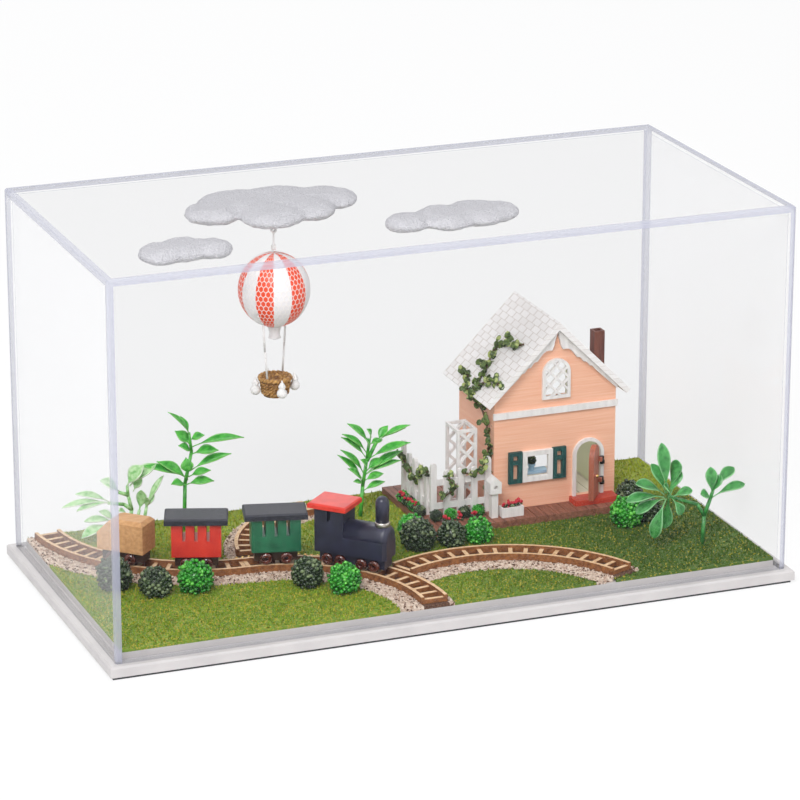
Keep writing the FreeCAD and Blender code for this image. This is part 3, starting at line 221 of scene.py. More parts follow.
# %% Floor
floor_glow = 0.76
floor_mesh = bmesh.new()
bmesh.ops.create_grid(floor_mesh, x_segments=2, y_segments=2, size=3.0)
floor_data = bpy.data.meshes.new("floor")
floor_mesh.to_mesh(floor_data)
floor_mesh.free()
floor = bpy.data.objects.new("floor", floor_data)
bpy.context.collection.objects.link(floor)
paper, tree, shader = surface("white_paper", 0.9, **{"Base Color": "#F2F2F2"})
camera_ray = add(tree, "LightPath").outputs["Is Camera Ray"]
share = add(tree, "Math", (camera_ray, floor_glow), operation="MULTIPLY")
white = add(tree, "Emission", {"Color": "#FFFFFF", "Strength": 1.0})
lit = add(tree, "MixShader", (share, shader, white))
feed(tree, tree.nodes["Material Output"], {"Surface": lit})
floor_data.materials.append(paper)
print("floor", len(floor_data.polygons), "faces")

# %% [markdown]
# ## Finishes for painted and bare wood
# Most small pieces are limewood under a coat of water paint. The paint is even, but the grain shows through
# as faint streaks, and it lies a little uneven. The same recipe serves every colour: a noise stretched
# along the grain mixes two tones and lifts the surface slightly. Below the sole of a coach the underframe
# lies in shade, so there the height of a point swaps the paint for a painted shade of dark brown. The house
# is painted peach outside and pale green inside, which the direction of each face tells apart, and its floor
# is pale.

# %% Painted wood
vehicle_sole = 15.15
house_middle = 64.25
room_half = 20.8
room_front = 16.0


def painted_wood(
    name, paint, shade, grain, roughness=0.55, lift=0.12, shade_below_sole=False, inside=None, floor=None
):
    """Paint over limewood, with streaks as long and wide as the grain sizes say."""
    material, tree, shader = surface(name, roughness)
    streaks = mottle(tree, *grain, detail=5.0)
    tone = add(tree, "Mix", {0: streaks, 6: shade, 7: paint}, data_type="RGBA")
    where = place_on(tree)
    if shade_below_sole:
        # Below the sole the paint gives way to a painted shade of dark brown.
        foot = add(tree, "Math", (where[2], vehicle_sole * MM), operation="LESS_THAN")
        tone = add(tree, "Mix", {0: foot, 6: tone, 7: "#3B2519"}, data_type="RGBA")
    if inside or floor:
        off_middle = add(tree, "Math", (where[0], house_middle * MM), operation="SUBTRACT")
    if inside:
        facing = place_on(tree, "Normal")
        inward = add(tree, "Math", (off_middle, facing[0]), operation="MULTIPLY")
        side_wall = add(tree, "Math", (inward, -2 * MM), operation="LESS_THAN")
        front_wall = add(tree, "Math", (facing[1], 0.5), operation="GREATER_THAN")
        room = add(tree, "Math", (side_wall, front_wall), operation="MAXIMUM")
        tone = add(tree, "Mix", {0: room, 6: tone, 7: inside}, data_type="RGBA")
    if floor:
        aside = add(tree, "Math", (off_middle,), operation="ABSOLUTE")
        between = add(tree, "Math", (aside, room_half * MM), operation="LESS_THAN")
        behind = add(tree, "Math", (where[1], room_front * MM), operation="GREATER_THAN")
        room = add(tree, "Math", (between, behind), operation="MULTIPLY")
        tone = add(tree, "Mix", {0: room, 6: tone, 7: floor}, data_type="RGBA")
    coat(tree, shader, tone, streaks, lift)
    return material

# %% [markdown]
# ## Paints and stains
# Each paint has its own tones, grain and gloss: the train wears glossy enamel, the garden matt white, and
# the deck, the door and the chimney a stain. Grain sizes run along X, Y and Z, so the longest one says which
# way the wood was sawn.

# %% Paints and stains
even_coat = (4, 4, 4)
wall_paint = painted_wood(
    "peach_paint_on_plywood", "#F9C4A6", "#F0B091", (18, 18, 0.5), 0.6, 0.06, inside="#E6E8C6"
)
white_paint = painted_wood("white_paint_on_limewood", "#F1EEEC", "#DFDBD9", (1.4, 1.4, 8))
teal_paint = painted_wood("dark_teal_paint_on_limewood", "#1F5A55", "#0E3535", (0.8, 2, 4), 0.5)
navy_paint = painted_wood("navy_enamel_on_wood", "#303146", "#1E1F2E", even_coat, 0.35, 0.04)
red_paint = painted_wood("red_enamel_on_wood", "#E8402F", "#CC2C22", even_coat, 0.35, 0.04, True)
green_paint = painted_wood("green_enamel_on_wood", "#2C7A55", "#195A3F", even_coat, 0.35, 0.04, True)
roof_paint = painted_wood("charcoal_paint_on_wood", "#2C2D3A", "#121319", (1.2, 1.2, 1.2), 0.55, 0.25)
deck_stain = painted_wood(
    "walnut_stain_on_limewood", "#9C6650", "#6C4030", (1.0, 9, 1.0), 0.6, 0.2, floor="#E6DCCB"
)
stack_stain = painted_wood("brown_stain_on_limewood", "#74402F", "#4E261B", (1.2, 1.2, 7), 0.6)
door_stain = painted_wood("mahogany_stain_on_limewood", "#B8694F", "#94503B", (0.9, 0.9, 9), 0.5)
step_paint = painted_wood("brick_red_paint_on_wood", "#CE4A32", "#A83422", (6, 1.2, 1.2), 0.5)
bare_wood = painted_wood("sanded_beech", "#E2AE78", "#C48F5A", (7, 1.0, 1.0), shade_below_sole=True)
dress(wall_paint, "house_front_wall", "house_side_walls")
dress(white_paint, "bargeboards", "string_course", "window_frames", "door_frame")
dress(white_paint, "fence", "arbour", "birdhouse", "flower_box")
dress(teal_paint, "shutters")
dress(navy_paint, "loco_frame", "loco_cab")
dress(red_paint, "loco_cab_roof", "red_coach_body")
dress(green_paint, "green_coach_body")
dress(roof_paint, "red_coach_roof", "green_coach_roof")
dress(deck_stain, "deck")
dress(stack_stain, "house_chimney")
dress(door_stain, "door_leaf")
dress(step_paint, "door_step")
dress(bare_wood, "wagon_body")
print("wood finishes done")

# %% [markdown]
# ## Eyes of the hinges
# The black eyes of the hinges are one with the door leaf. A piece of their own would have to be cut from it,
# so the finish finds them instead: points close to the hinge line are black, and the rest keeps its stain.

# %% Eyes of the hinges
hinge_eye = 0.95
tree = door_stain.node_tree
shader = tree.nodes["Principled BSDF"]
stain = shader.inputs["Base Color"].links[0].from_socket
pivot = joint_of["door"]["pos_m"]
place = add(tree, "TexCoord").outputs["Object"]
flat = add(tree, "VectorMath", (place, (1, 1, 0)), operation="MULTIPLY")
away = add(tree, "VectorMath", (flat, (pivot[0], pivot[1], 0)), operation="DISTANCE")
eye = add(tree, "Math", (away, hinge_eye * MM), operation="LESS_THAN")
coat(tree, shader, add(tree, "Mix", {0: eye, 6: stain, 7: "#1C1816"}, data_type="RGBA"))
print("hinge line", [round(value, 4) for value in pivot])

# %% [markdown]
# ## Shingles
# The roof is card scored into small shingles and painted white. Shingles could be modelled one by one, but
# the scores are only scratches, so a brick pattern with a slight bump is enough. The scores down the slope
# are wider than those along it, so the pattern is squeezed along the ridge before its lines are drawn. On a
# slope of 45 degrees the height serves as the running coordinate up the roof.

# %% Shingles
shingle_long = 5.4
shingle_rise = 2.4
ridge_squeeze = 0.3
roof_pitch = math.radians(45)
shingles, tree, shader = surface("white_scored_shingles", 0.6)
where = place_on(tree)
slope = add(tree, "Math", (where[2], 1 / math.sin(roof_pitch)), operation="MULTIPLY")
along = add(tree, "Math", (where[1], ridge_squeeze), operation="MULTIPLY")
bond = add(
    tree,
    "TexBrick",
    {
        "Vector": add(tree, "CombineXYZ", (along, slope)),
        "Color1": "#F3F0EF",
        "Color2": "#EAE6E4",
        "Mortar": "#D0C7C1",
        "Scale": 1.0,
        "Mortar Size": 0.1 * MM,
        "Mortar Smooth": 0.4,
        "Brick Width": shingle_long * ridge_squeeze * MM,
        "Row Height": shingle_rise * MM,
    },
)
raised = add(tree, "Math", (1.0, bond.outputs["Fac"]), operation="SUBTRACT")
coat(tree, shader, bond, raised, 0.3)
dress(shingles, "roof_panels")
print("shingle", shingle_long, "by", shingle_rise, "mm")

# %% [markdown]
# ## Track, tray and hinges
# The track is laser-cut birch: pale on top and scorched brown on the cut sides, which the direction of each
# face tells apart. The tray is moulded polystyrene with a soft sheen, the mat under it is a plain matt dark
# grey, and the hinges are blackened iron. These three look almost even, so two close tones are enough.

# %% Track, tray and hinges
cut_birch, tree, shader = surface("laser_cut_birch", 0.6)
upward = add(tree, "MapRange", (place_on(tree, "Normal")[2], 0.3, 0.7))
speck = mottle(tree, 1.3, detail=5.0)
cut_side = add(tree, "Mix", {0: speck, 6: "#6B3E20", 7: "#A56C3C"}, data_type="RGBA")
upper_side = add(tree, "Mix", {0: speck, 6: "#C79A6C", 7: "#EACBA2"}, data_type="RGBA")
coat(tree, shader, add(tree, "Mix", {0: upward, 6: cut_side, 7: upper_side}, data_type="RGBA"))
dress(cut_birch, "main_track", "branch_track", "rear_track")

dress(mottled("moulded_polystyrene", "#BDB9B9", "#C8C4C3", 12, 0.42, 0.02), "base_tray")
# The mat under the tray is a plain matt dark grey.
dress(mottled("foam_rubber", "#3A3C3E", "#5A5C5E", 0.8, 0.85), "underside_mat")
dress(mottled("blackened_iron", "#141110", "#3A2E26", 0.8, 0.5, Metallic=0.6), "door_hinges")
print("track, tray and hinges done")

# %% [markdown]
# ## Clear cover
# The cover is cast acrylic. Its walls only grey the view a little, but where two walls meet, light gathers
# in the glued joint and the edge looks a pale violet grey. The finish finds these joints from the place of
# each point: near two walls at once it is violet and less clear. The two end walls carry a painted
# reflection, a white veil that grows towards the lid, and the lower rim is a thin grey line. A glass
# shader would darken all that stands inside, so each wall is a thin veil that lets most of the light
# straight through.

# %% Clear cover
wall_thickness = 2.05
edge_width = 2.1
rim_width = 0.8
reflection_foot = 5.0
pane_share = 0.036
joint_share = 0.58
rim_share = 0.25
reflection_shares = (0.04, 0.24)
low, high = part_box("clear_cover")
acrylic, tree, shader = surface("cast_acrylic", 0.05, IOR=1.49)
where = place_on(tree)
walls = add(tree, "Math", (where[2], high[2] - edge_width * MM), operation="GREATER_THAN")
for axis in (0, 1):
    reach = add(tree, "Math", (where[axis],), operation="ABSOLUTE")
    wall = add(tree, "Math", (reach, high[axis] - edge_width * MM), operation="GREATER_THAN")
    walls = add(tree, "Math", (walls, wall), operation="ADD")
joint = add(tree, "Math", (walls, 1.5), operation="GREATER_THAN")
rim = add(tree, "Math", (where[2], low[2] + rim_width * MM), operation="LESS_THAN")
reach = add(tree, "Math", (where[0],), operation="ABSOLUTE")
end_wall = add(tree, "Math", (reach, high[0] - wall_thickness * MM), operation="GREATER_THAN")
# The end walls take the near white of a painted reflection, and the other walls a faint grey.
tone = add(tree, "Mix", {0: end_wall, 6: "#5C5E68", 7: "#F6F6F8"}, data_type="RGBA")
tone = add(tree, "Mix", {0: joint, 6: tone, 7: "#ABADBF"}, data_type="RGBA")
tone = add(tree, "Mix", {0: rim, 6: tone, 7: "#A4A6B2"}, data_type="RGBA")
# The painted reflection grows from its foot up towards the lid.
height = add(tree, "MapRange", (where[2], reflection_foot * MM, high[2]))
height = add(tree, "Math", (height, 0.6), operation="POWER")
painted_reflection = add(tree, "MapRange", (height, 0.0, 1.0, *reflection_shares))
painted_reflection = add(tree, "Math", (end_wall, painted_reflection), operation="MULTIPLY")
alpha = add(tree, "Math", (painted_reflection, pane_share), operation="MAXIMUM")
for part, share in ((joint, joint_share), (rim, rim_share)):
    part = add(tree, "Math", (part, share), operation="MULTIPLY")
    alpha = add(tree, "Math", (alpha, part), operation="MAXIMUM")
coat(tree, shader, tone)
feed(tree, shader, {"Alpha": alpha})
dress(acrylic, "clear_cover")
print("cover", [round(value, 4) for value in high])

# %% [markdown]
# ## Pieces and copies
# Small grains, beads and leaves come in hundreds. One object for each would be too many, so each is drawn
# once as a small mesh and then copied into one piece by a list of placings. A finished piece rides on a
# body, takes its finishes, and may stand for nodes of the imported model.

# %% Pieces and copies
def piece(shape, name, body, materials, stands_for=(), smooth=True):
    """Turns a finished shape into an object that rides on a body."""
    mesh = bpy.data.meshes.new(name)
    shape.to_mesh(mesh)
    shape.free()
    for material in materials:
        mesh.materials.append(material)
    if smooth:
        mesh.shade_smooth()
    made = bpy.data.objects.new(name, mesh)
    bpy.context.collection.objects.link(made)
    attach(made, body)
    if stands_for:
        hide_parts(*stands_for)
    print(name, len(mesh.polygons), "faces")
    return made


def small_mesh(shape):
    """A template to be copied."""
    mesh = bpy.data.meshes.new("template")
    shape.to_mesh(mesh)
    shape.free()
    return mesh


def scatter(shape, template, placings):
    """Copies a small mesh into a shape, once for each placing."""
    for placing in placings:
        template.transform(placing)
        shape.from_mesh(template)
        template.transform(placing.inverted())


def at(x, y, z):
    """A point from millimetres."""
    return Vector((x, y, z)) * MM


def sized(spot, *sizes):
    """A placing at a spot, grown to a size in millimetres, or to three sizes along X, Y and Z."""
    return Matrix.Translation(spot) @ Matrix.Diagonal([size * MM for size in (sizes * 3)[:3]] + [1])

# %% [markdown]
# ## Tubes and turned shapes
# Stems and cords are short tapered tubes from point to point. A bevelled curve would do as well, but tubes
# join the rest of a mesh at once. Round pieces are spun from a half profile, as on a lathe, then merged and
# turned outwards, because a spin can leave a shape inside out.

# %% Tubes and turned shapes
def tube(shape, points, radii, sides=8):
    """Tapered lengths from point to point, with a ball in every bend. Radii are in millimetres."""
    for start, end, wide, slim in zip(points, points[1:], radii, radii[1:]):
        run = end - start
        placing = Matrix.Translation((start + end) / 2) @ run.to_track_quat("Z", "Y").to_matrix().to_4x4()
        bmesh.ops.create_cone(
            shape,
            cap_ends=True,
            segments=sides,
            radius1=wide * MM,
            radius2=slim * MM,
            depth=run.length,
            matrix=placing,
        )
    for point, radius in list(zip(points, radii))[1:-1]:
        bmesh.ops.create_icosphere(shape, subdivisions=1, radius=1.0, matrix=sized(point, radius))


def spun(profile, steps=20):
    """A round shape from pairs of radius and height in millimetres, merged and facing outwards."""
    shape = bmesh.new()
    verts = [shape.verts.new((radius * MM, 0, height * MM)) for radius, height in profile]
    edges = [shape.edges.new(pair) for pair in zip(verts, verts[1:])]
    bmesh.ops.spin(
        shape,
        geom=verts + edges,
        cent=(0, 0, 0),
        axis=(0, 0, 1),
        angle=2 * math.pi,
        steps=steps,
        use_merge=True,
    )
    bmesh.ops.remove_doubles(shape, verts=shape.verts, dist=0.01 * MM)
    bmesh.ops.recalc_face_normals(shape, faces=shape.faces)
    return shape

# %% [markdown]
# ## The ground plan
# The track is made of circle arcs, and gravel lies along them in strips. The same few numbers as in the
# model say where turf ends and gravel starts. Each strip has the two places of its centre, its radius, its
# two edges and its two end angles. A sheet of turf or gravel is a fine grid cut to this plan.

# %% The ground plan
platform_top = 7.0
turf_top = 8.0
ballast_top = 8.2
rail_half = 4.6
strips = (
    (-51.9, 54.5, 56.0, 49.6, 68.1, -179.5, -93.0),
    (-57.45, -51.35, 50.0, 37.9, 56.4, -4.6, 87.0),
    (14.8, -67.7, 49.5, 37.4, 55.9, 18.7, 119.3),
    (-9.1, 3.9, 40.6, 32.5, 48.7, 96.3, 174.1),
)
low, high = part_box("turf_sheets")
half_x = high[0] / MM
half_y = high[1] / MM


def strips_at(x, y):
    """Each strip whose arc passes this place: its radius, its two edges and the reach from its centre."""
    for centre_x, centre_y, radius, inner, outer, start, end in strips:
        turn = math.degrees(math.atan2(y - centre_y, x - centre_x))
        if start < turn < end:
            yield radius, inner, outer, math.hypot(x - centre_x, y - centre_y)


def gravel_at(x, y, margin=0.0):
    """True where a strip of gravel lies."""
    return any(inner + margin < reach < outer - margin for _, inner, outer, reach in strips_at(x, y))


def under_rails(x, y):
    """True between and just beside the rails."""
    return any(abs(reach - radius) < rail_half for radius, _, _, reach in strips_at(x, y))


def ground_sheet(cell, keep, top):
    """A fine grid over the platform, cut to a plan, with its rim turned down to the platform."""
    shape = bmesh.new()
    columns = int(2 * half_x / cell)
    rows = int(2 * half_y / cell)
    bmesh.ops.create_grid(shape, x_segments=columns, y_segments=rows, size=1.0)
    bmesh.ops.scale(shape, vec=(half_x * MM, half_y * MM, 1), verts=shape.verts)
    lost = [vert for vert in shape.verts if not keep(vert.co.x / MM, vert.co.y / MM)]
    bmesh.ops.delete(shape, geom=lost, context="VERTS")
    for vert in shape.verts:
        vert.co.z = top * MM
    rim = [edge for edge in shape.edges if edge.is_boundary]
    turned = bmesh.ops.extrude_edge_only(shape, edges=rim)
    skirt = [item for item in turned["geom"] if isinstance(item, bmesh.types.BMVert)]
    for vert in skirt:
        vert.co.z = platform_top * MM
    return shape

# %% [markdown]
# ## Turf
# Model turf is a paper sheet flocked with short upright fibres. The sheet is a flat grid cut to the plan.
# Each fibre is one thin triangle, leaning its own way. One small mat of fibres is drawn and laid like tiles,
# every other one turned round, and fibres that fall on gravel are taken off again. Hair would do this too,
# but triangles export as they are. Real flock is too fine to show, so the fibres are drawn wider.

# %% Turf
sheet_cell = 0.8
turf_edge = 0.3
fibre_edge = 0.4
fibre_overhang = 0.2
fibre_half_width = 0.34
fibre_heights = (0.35, 0.8)
fibre_lean = 0.55
fibres_per_mat = 900
mat_columns = 12
mat_rows = 6
mat_x = 2 * half_x / mat_columns
mat_y = 2 * half_y / mat_rows
chance = random.Random(5)
sheet = ground_sheet(sheet_cell, lambda x, y: not gravel_at(x, y, turf_edge), turf_top)
fibre = bmesh.new()
bmesh.ops.create_circle(fibre, cap_ends=True, segments=3, radius=1.0)
bmesh.ops.transform(fibre, matrix=Matrix.Rotation(math.radians(90), 4, "X"), verts=fibre.verts)
bmesh.ops.translate(fibre, vec=(0, 0, 0.4), verts=fibre.verts)
fibre_mesh = small_mesh(fibre)
placings = []
for index in range(fibres_per_mat):
    spot = at(chance.uniform(-0.5, 0.5) * mat_x, chance.uniform(-0.5, 0.5) * mat_y, 0)
    turn = Matrix.Rotation(chance.uniform(0, 2 * math.pi), 4, "Z")
    lean = Matrix.Rotation(chance.gauss(0, fibre_lean), 4, "X")
    size = sized(Vector((0, 0, 0)), fibre_half_width, fibre_half_width, chance.uniform(*fibre_heights))
    placings.append(Matrix.Translation(spot) @ turn @ lean @ size)
fibre_mat = bmesh.new()
scatter(fibre_mat, fibre_mesh, placings)
fibre_mat_mesh = small_mesh(fibre_mat)
lawn = bmesh.new()
placings = []
for column in range(mat_columns):
    for row in range(mat_rows):
        spot = at((column + 0.5) * mat_x - half_x, (row + 0.5) * mat_y - half_y, turf_top)
        placings.append(Matrix.Translation(spot) @ Matrix.Rotation(math.pi * ((column + row) % 2), 4, "Z"))
scatter(lawn, fibre_mat_mesh, placings)
off_turf = []
for face in lawn.faces:
    spot = face.calc_center_median() / MM
    outside = abs(spot.x) > half_x - fibre_edge or abs(spot.y) > half_y - fibre_edge
    if outside or gravel_at(spot.x, spot.y, -fibre_overhang):
        off_turf.append(face)
bmesh.ops.delete(lawn, geom=off_turf, context="FACES")

# %% [markdown]
# ## The colour of the turf
# Flock is a mix of green and straw-coloured fibres. The lawn is yellow green on the left, bright
# along the back, and darker on the right as painted shade, so two slow changes across it mix the greens.
# Where both meet, at the back right, a brighter corner is painted light against the shadow of the house.
# Random grains as small as a fibre add darker tufts and straw, and the foot of each fibre is painted
# darker than its tip, as shade among the fibres.

# %% The colour of the turf
flock, tree, shader = surface("flocked_turf", 0.7)
where = place_on(tree)
rightward = add(tree, "MapRange", (where[0], -20 * MM, 70 * MM))
backward = add(tree, "MapRange", (where[1], 10 * MM, 45 * MM))
# The back right corner is lifted by painted light against the shadow of the house.
painted_light_corner = add(tree, "Math", (rightward, backward), operation="MULTIPLY")
pick = grains(tree, 0.45)
tuft = add(tree, "MapRange", (pick[0], 0.0, 1.0, 0.0, 0.65))
straw_limit = add(tree, "MapRange", (rightward, 0.0, 1.0, 0.8, 0.93))
straw = add(tree, "Math", (pick[1], straw_limit), operation="GREATER_THAN")
# Darker towards the right is painted shade.
tone = add(tree, "Mix", {0: rightward, 6: "#98B81E", 7: "#466410"}, data_type="RGBA")
for share, colour in (
    (backward, "#B2C82C"),
    (painted_light_corner, "#D2E038"),
    (tuft, "#496A16"),
    (straw, "#D6BC40"),
):
    tone = add(tree, "Mix", {0: share, 6: tone, 7: colour}, data_type="RGBA")
# The foot of each fibre is painted darker than its tip: painted shade among the fibres.
tip = add(tree, "MapRange", (where[2], (turf_top - 0.1) * MM, (turf_top + 0.6) * MM, 0.5, 1.0))
coat(tree, shader, add(tree, "Mix", {0: tip, 6: "#45601A", 7: tone}, data_type="RGBA"))
piece(sheet, "turf", "base", [flock], ("turf_sheets",), smooth=False)
piece(lawn, "turf_fibres", "base", [flock], smooth=False)

# %% [markdown]
# ## Gravel bed
# The ballast is crushed stone glued in a thin layer: beige, pink and white grains under a millimetre across.
# Between the rails lies dark brown grit, its colour partly the grit's own and partly painted shade in the
# cells between the ties. Broken stone is matt, and each grain has its own tone. The bed is a flat sheet cut
# to the plan, and its faces under the rails take the grit.

# %% Gravel bed
bed_cell = 0.9
bed_overhang = 0.6
bed_sink = 0.15
stone, tree, shader = surface("crushed_stone", 0.8)
pick = grains(tree, 0.7)
warm = add(tree, "Mix", {0: pick[0], 6: "#B39682", 7: "#EADBCB"}, data_type="RGBA")
dark_share = add(tree, "Math", (pick[1], 0.84), operation="GREATER_THAN")
tone = add(tree, "Mix", {0: dark_share, 6: warm, 7: "#5A3D2C"}, data_type="RGBA")
coat(tree, shader, tone, pick[0], 0.4, 0.3)
# Under the rails the grit is dark brown, partly its own colour and partly painted shade in the cells between the
# ties.
grit_and_shade = mottled("brown_grit_and_painted_shade", "#38221A", "#785640", 0.8, 0.9, 0.6)
bed = ground_sheet(bed_cell, lambda x, y: gravel_at(x, y, -bed_overhang), ballast_top - bed_sink)
for face in bed.faces:
    spot = face.calc_center_median() / MM
    face.material_index = int(under_rails(spot.x, spot.y))
piece(bed, "gravel_bed", "base", [stone, grit_and_shade], ("ballast_bed",), smooth=False)

# %% [markdown]
# ## Gravel grains
# A bump alone would look flat at the edge of the gravel, so loose grains lie on the bed. One rough grain is
# copied some thousands of times, turned and flattened by chance, and the places under the rails stay free.

# %% Gravel grains
grain_count = 8500
grain_edge = 0.6
grain_radii = (0.22, 0.55)
grain = bmesh.new()
bmesh.ops.create_icosphere(grain, subdivisions=1, radius=1.0)
chance = random.Random(11)
for vert in grain.verts:
    vert.co *= chance.uniform(0.75, 1.15)
grain_mesh = small_mesh(grain)
placings = []
areas = [(outer ** 2 - inner ** 2) * (end - start) for _, _, _, inner, outer, start, end in strips]
while len(placings) < grain_count:
    centre_x, centre_y, radius, inner, outer, start, end = chance.choices(strips, areas)[0]
    reach = math.sqrt(chance.uniform(inner ** 2, outer ** 2)) + chance.gauss(0, 0.3)
    turn = math.radians(chance.uniform(start, end))
    x = centre_x + reach * math.cos(turn)
    y = centre_y + reach * math.sin(turn)
    if abs(x) > half_x - grain_edge or abs(y) > half_y - grain_edge or under_rails(x, y):
        continue
    size = chance.uniform(*grain_radii)
    spin = Matrix.Rotation(chance.uniform(0, 6.28), 4, "Z")
    spin @= Matrix.Rotation(chance.uniform(-0.5, 0.5), 4, "X")
    flat = sized(Vector((0, 0, 0)), size, size * chance.uniform(0.7, 1), size * 0.7)
    placings.append(Matrix.Translation(at(x, y, ballast_top - 0.1 + 0.3 * size)) @ spin @ flat)
gravel = bmesh.new()
scatter(gravel, grain_mesh, placings)
piece(gravel, "gravel_grains", "base", [stone], smooth=False)

# %% [markdown]
# ## Bushes
# The bushes are foam balls rolled in round crumbs. A ball with a rough finish would keep a smooth outline,
# so a core carries a few hundred crumbs, spread by the golden angle and nudged in and out so that no rows
# show. Each crumb takes its own tone from random grains, and the dyed foam has some shine.

# %% Bushes
core_share = 0.84
golden_angle = math.radians(137.5)


def crumb_ball(shape, centre, radius, crumb_radius, floor_level):
    """A foam ball in millimetres: a core and a skin of crumbs, left out below the floor."""
    bmesh.ops.create_icosphere(shape, subdivisions=2, radius=1.0, matrix=sized(centre, radius * core_share))
    count = int(3.6 * (radius / crumb_radius) ** 2)
    placings = []
    for index in range(count):
        height = 1 - 2 * (index + 0.5) / count
        turn = index * golden_angle
        ring = math.sqrt(1 - height * height)
        out = Vector((ring * math.cos(turn), ring * math.sin(turn), height))
        spot = centre + out * radius * chance.uniform(0.82, 1.0) * MM
        spot += Vector([chance.gauss(0, 0.2) * crumb_radius for _ in range(3)]) * MM
        if spot.z > (floor_level + crumb_radius * 0.6) * MM:
            placings.append(sized(spot, crumb_radius * chance.uniform(0.75, 1.15)))
    scatter(shape, crumb_mesh, placings)


def foliage(name, dark, light, glint):
    """Dyed foam crumbs: each crumb takes its own tone, and a few much lighter ones are painted highlights."""
    material, tree, shader = surface(name, 0.26)
    pick = grains(tree, 1.4)
    tone = add(tree, "Mix", {0: pick[0], 6: dark, 7: light}, data_type="RGBA")
    # The few much lighter crumbs are painted highlights.
    few = add(tree, "Math", (pick[1], 0.88), operation="GREATER_THAN")
    coat(tree, shader, add(tree, "Mix", {0: few, 6: tone, 7: glint}, data_type="RGBA"))
    return material

# %% [markdown]
# ## Bushes in place
# Seven dark and five bright bushes stand on the turf, each a place and a radius, and a row of small shrubs
# stands on the deck along two sides of the fence, dark and bright in turn. All sit a little into the ground.

# %% Bushes in place
bush_sink = 0.15
deck_top = 10.4
crumb_size = 0.78
shrub_crumb = 0.42
dark_bushes = (
    (-100.8, -2.8, 6.0),
    (-90.2, -13.4, 5.3),
    (-40.6, -23.2, 5.5),
    (5.9, -4.4, 6.0),
    (17.7, -5.4, 4.8),
    (90.5, 9.9, 4.7),
    (90.8, -6.5, 4.0),
)
bright_bushes = (
    (-76.8, -14.6, 5.8),
    (-31.1, -32.7, 5.4),
    (27.6, -5.4, 4.7),
    (7.8, 6.6, 4.6),
    (81.0, -8.6, 5.6),
)
shrub_radius = 2.1
shrub_pitch = 5.2
shrubs = [(19.5 + index * shrub_pitch, 13.2) for index in range(4)]
shrubs += [(16.0, 20.2 + index * shrub_pitch) for index in range(4)]
crumb = bmesh.new()
bmesh.ops.create_icosphere(crumb, subdivisions=1, radius=1.0)
crumb_mesh = small_mesh(crumb)
chance = random.Random(3)
dark_foam = foliage("dark_green_foam", "#1A2A14", "#3E5230", "#77875F")
bright_foam = foliage("bright_green_foam", "#156314", "#38A828", "#6CCB4C")
for name, plan, low_row, foam, node in (
    ("dark_foliage", dark_bushes, shrubs[0::2], dark_foam, "bushes_dark"),
    ("bright_foliage", bright_bushes, shrubs[1::2], bright_foam, "bushes_bright"),
):
    balls = bmesh.new()
    for x, y, radius in plan:
        crumb_ball(balls, at(x, y, turf_top + radius * (1 - bush_sink)), radius, crumb_size, turf_top)
    for x, y in low_row:
        centre = at(x, y, deck_top + shrub_radius * (1 - bush_sink))
        crumb_ball(balls, centre, shrub_radius, shrub_crumb, deck_top)
    piece(balls, name, "base", [foam], (node,))

# %% [markdown]
# ## Window shelf
# Behind the main window stands a pale blue shelf with a pot on it, and in the pot a small foam ball. The
# shelf is a bevelled board, the pot is spun from its profile, and the ball is a bush in small.

# %% Window shelf
shelf_top = 22.4
shelf_bevel = 0.25
pot_place = (57.25, 19.0)
shelf_blue = painted_wood("pale_blue_paint_on_wood", "#A9C8DE", "#86ABC6", (6, 1, 1))
shelf = bmesh.new()
bmesh.ops.create_cube(shelf, size=1.0, matrix=sized(at(57.4, 19.0, shelf_top - 0.6), 11.2, 4.0, 1.2))
bmesh.ops.bevel(
    shelf,
    geom=shelf.edges[:],
    offset=shelf_bevel * MM,
    segments=2,
    profile=0.5,
    affect="EDGES",
    material=-1,
)
pot = spun([(0, 0), (0.85, 0), (1.15, 1.5), (1.4, 1.6), (1.4, 2.2), (1.1, 2.2), (1.0, 1.6), (0, 1.6)])
scatter(shelf, small_mesh(pot), [Matrix.Translation(at(*pot_place, shelf_top))])
piece(shelf, "window_shelf", "base", [shelf_blue], ("window_plant",), smooth=False)
ball = bmesh.new()
crumb_ball(ball, at(*pot_place, shelf_top + 3.56), 1.6, 0.35, shelf_top)
piece(ball, "window_ball", "base", [dark_foam], ("window_plant",))

# %% [markdown]
# ## Plastic plants
# The plants are moulded in soft plastic: a green stem and glossy leaves, each a thin spoon or blade with a
# raised middle. A flat picture of a leaf would have no edge, so a leaf is a small grid, thickened last. Its
# stalk is narrow, its blade is widest past its middle, its tip is round or pointed, and a map across it
# gives the blade a paler rim. Such plants are pressed almost flat, so each one is drawn in an upright plane,
# and its leaves turn half to the front.

# %% Plastic plants
leaf_facing = Vector((-0.2, -0.45, 0.85))
leaf_bend = 0.1
leaf_stalk = 0.2
leaf_fold = 0.3
leaf_wall = 0.3
stem_radius = 0.75
stem_taper = 0.3


def leaf(shape, base, tip, width, spoon, point):
    """One leaf from base to tip. Spoon sets its widest place, and point sharpens its tip."""
    grid = bmesh.new()
    grid.loops.layers.uv.new("leaf")
    bmesh.ops.create_grid(grid, x_segments=14, y_segments=4, size=0.5, calc_uvs=True)
    run = tip - base
    side = run.normalized().cross(leaf_facing).normalized()
    over = side.cross(run.normalized())
    if over.z < 0:
        over.negate()
    for vert in grid.verts:
        share = 0.5 - 0.5 * math.cos(math.pi * (vert.co.x + 0.5))
        across = 2 * vert.co.y
        blade = max(0.0, (share - leaf_stalk) / (1 - leaf_stalk))
        half = width * MM / 2 * max(0.1, max(0.0, math.sin(math.pi * blade ** spoon)) ** point)
        rise = leaf_bend * run.length * 4 * share * (1 - share) + abs(across) * half * leaf_fold
        vert.co = base + run * share + side * across * half + over * rise
    small = small_mesh(grid)
    shape.from_mesh(small)
    bpy.data.meshes.remove(small)


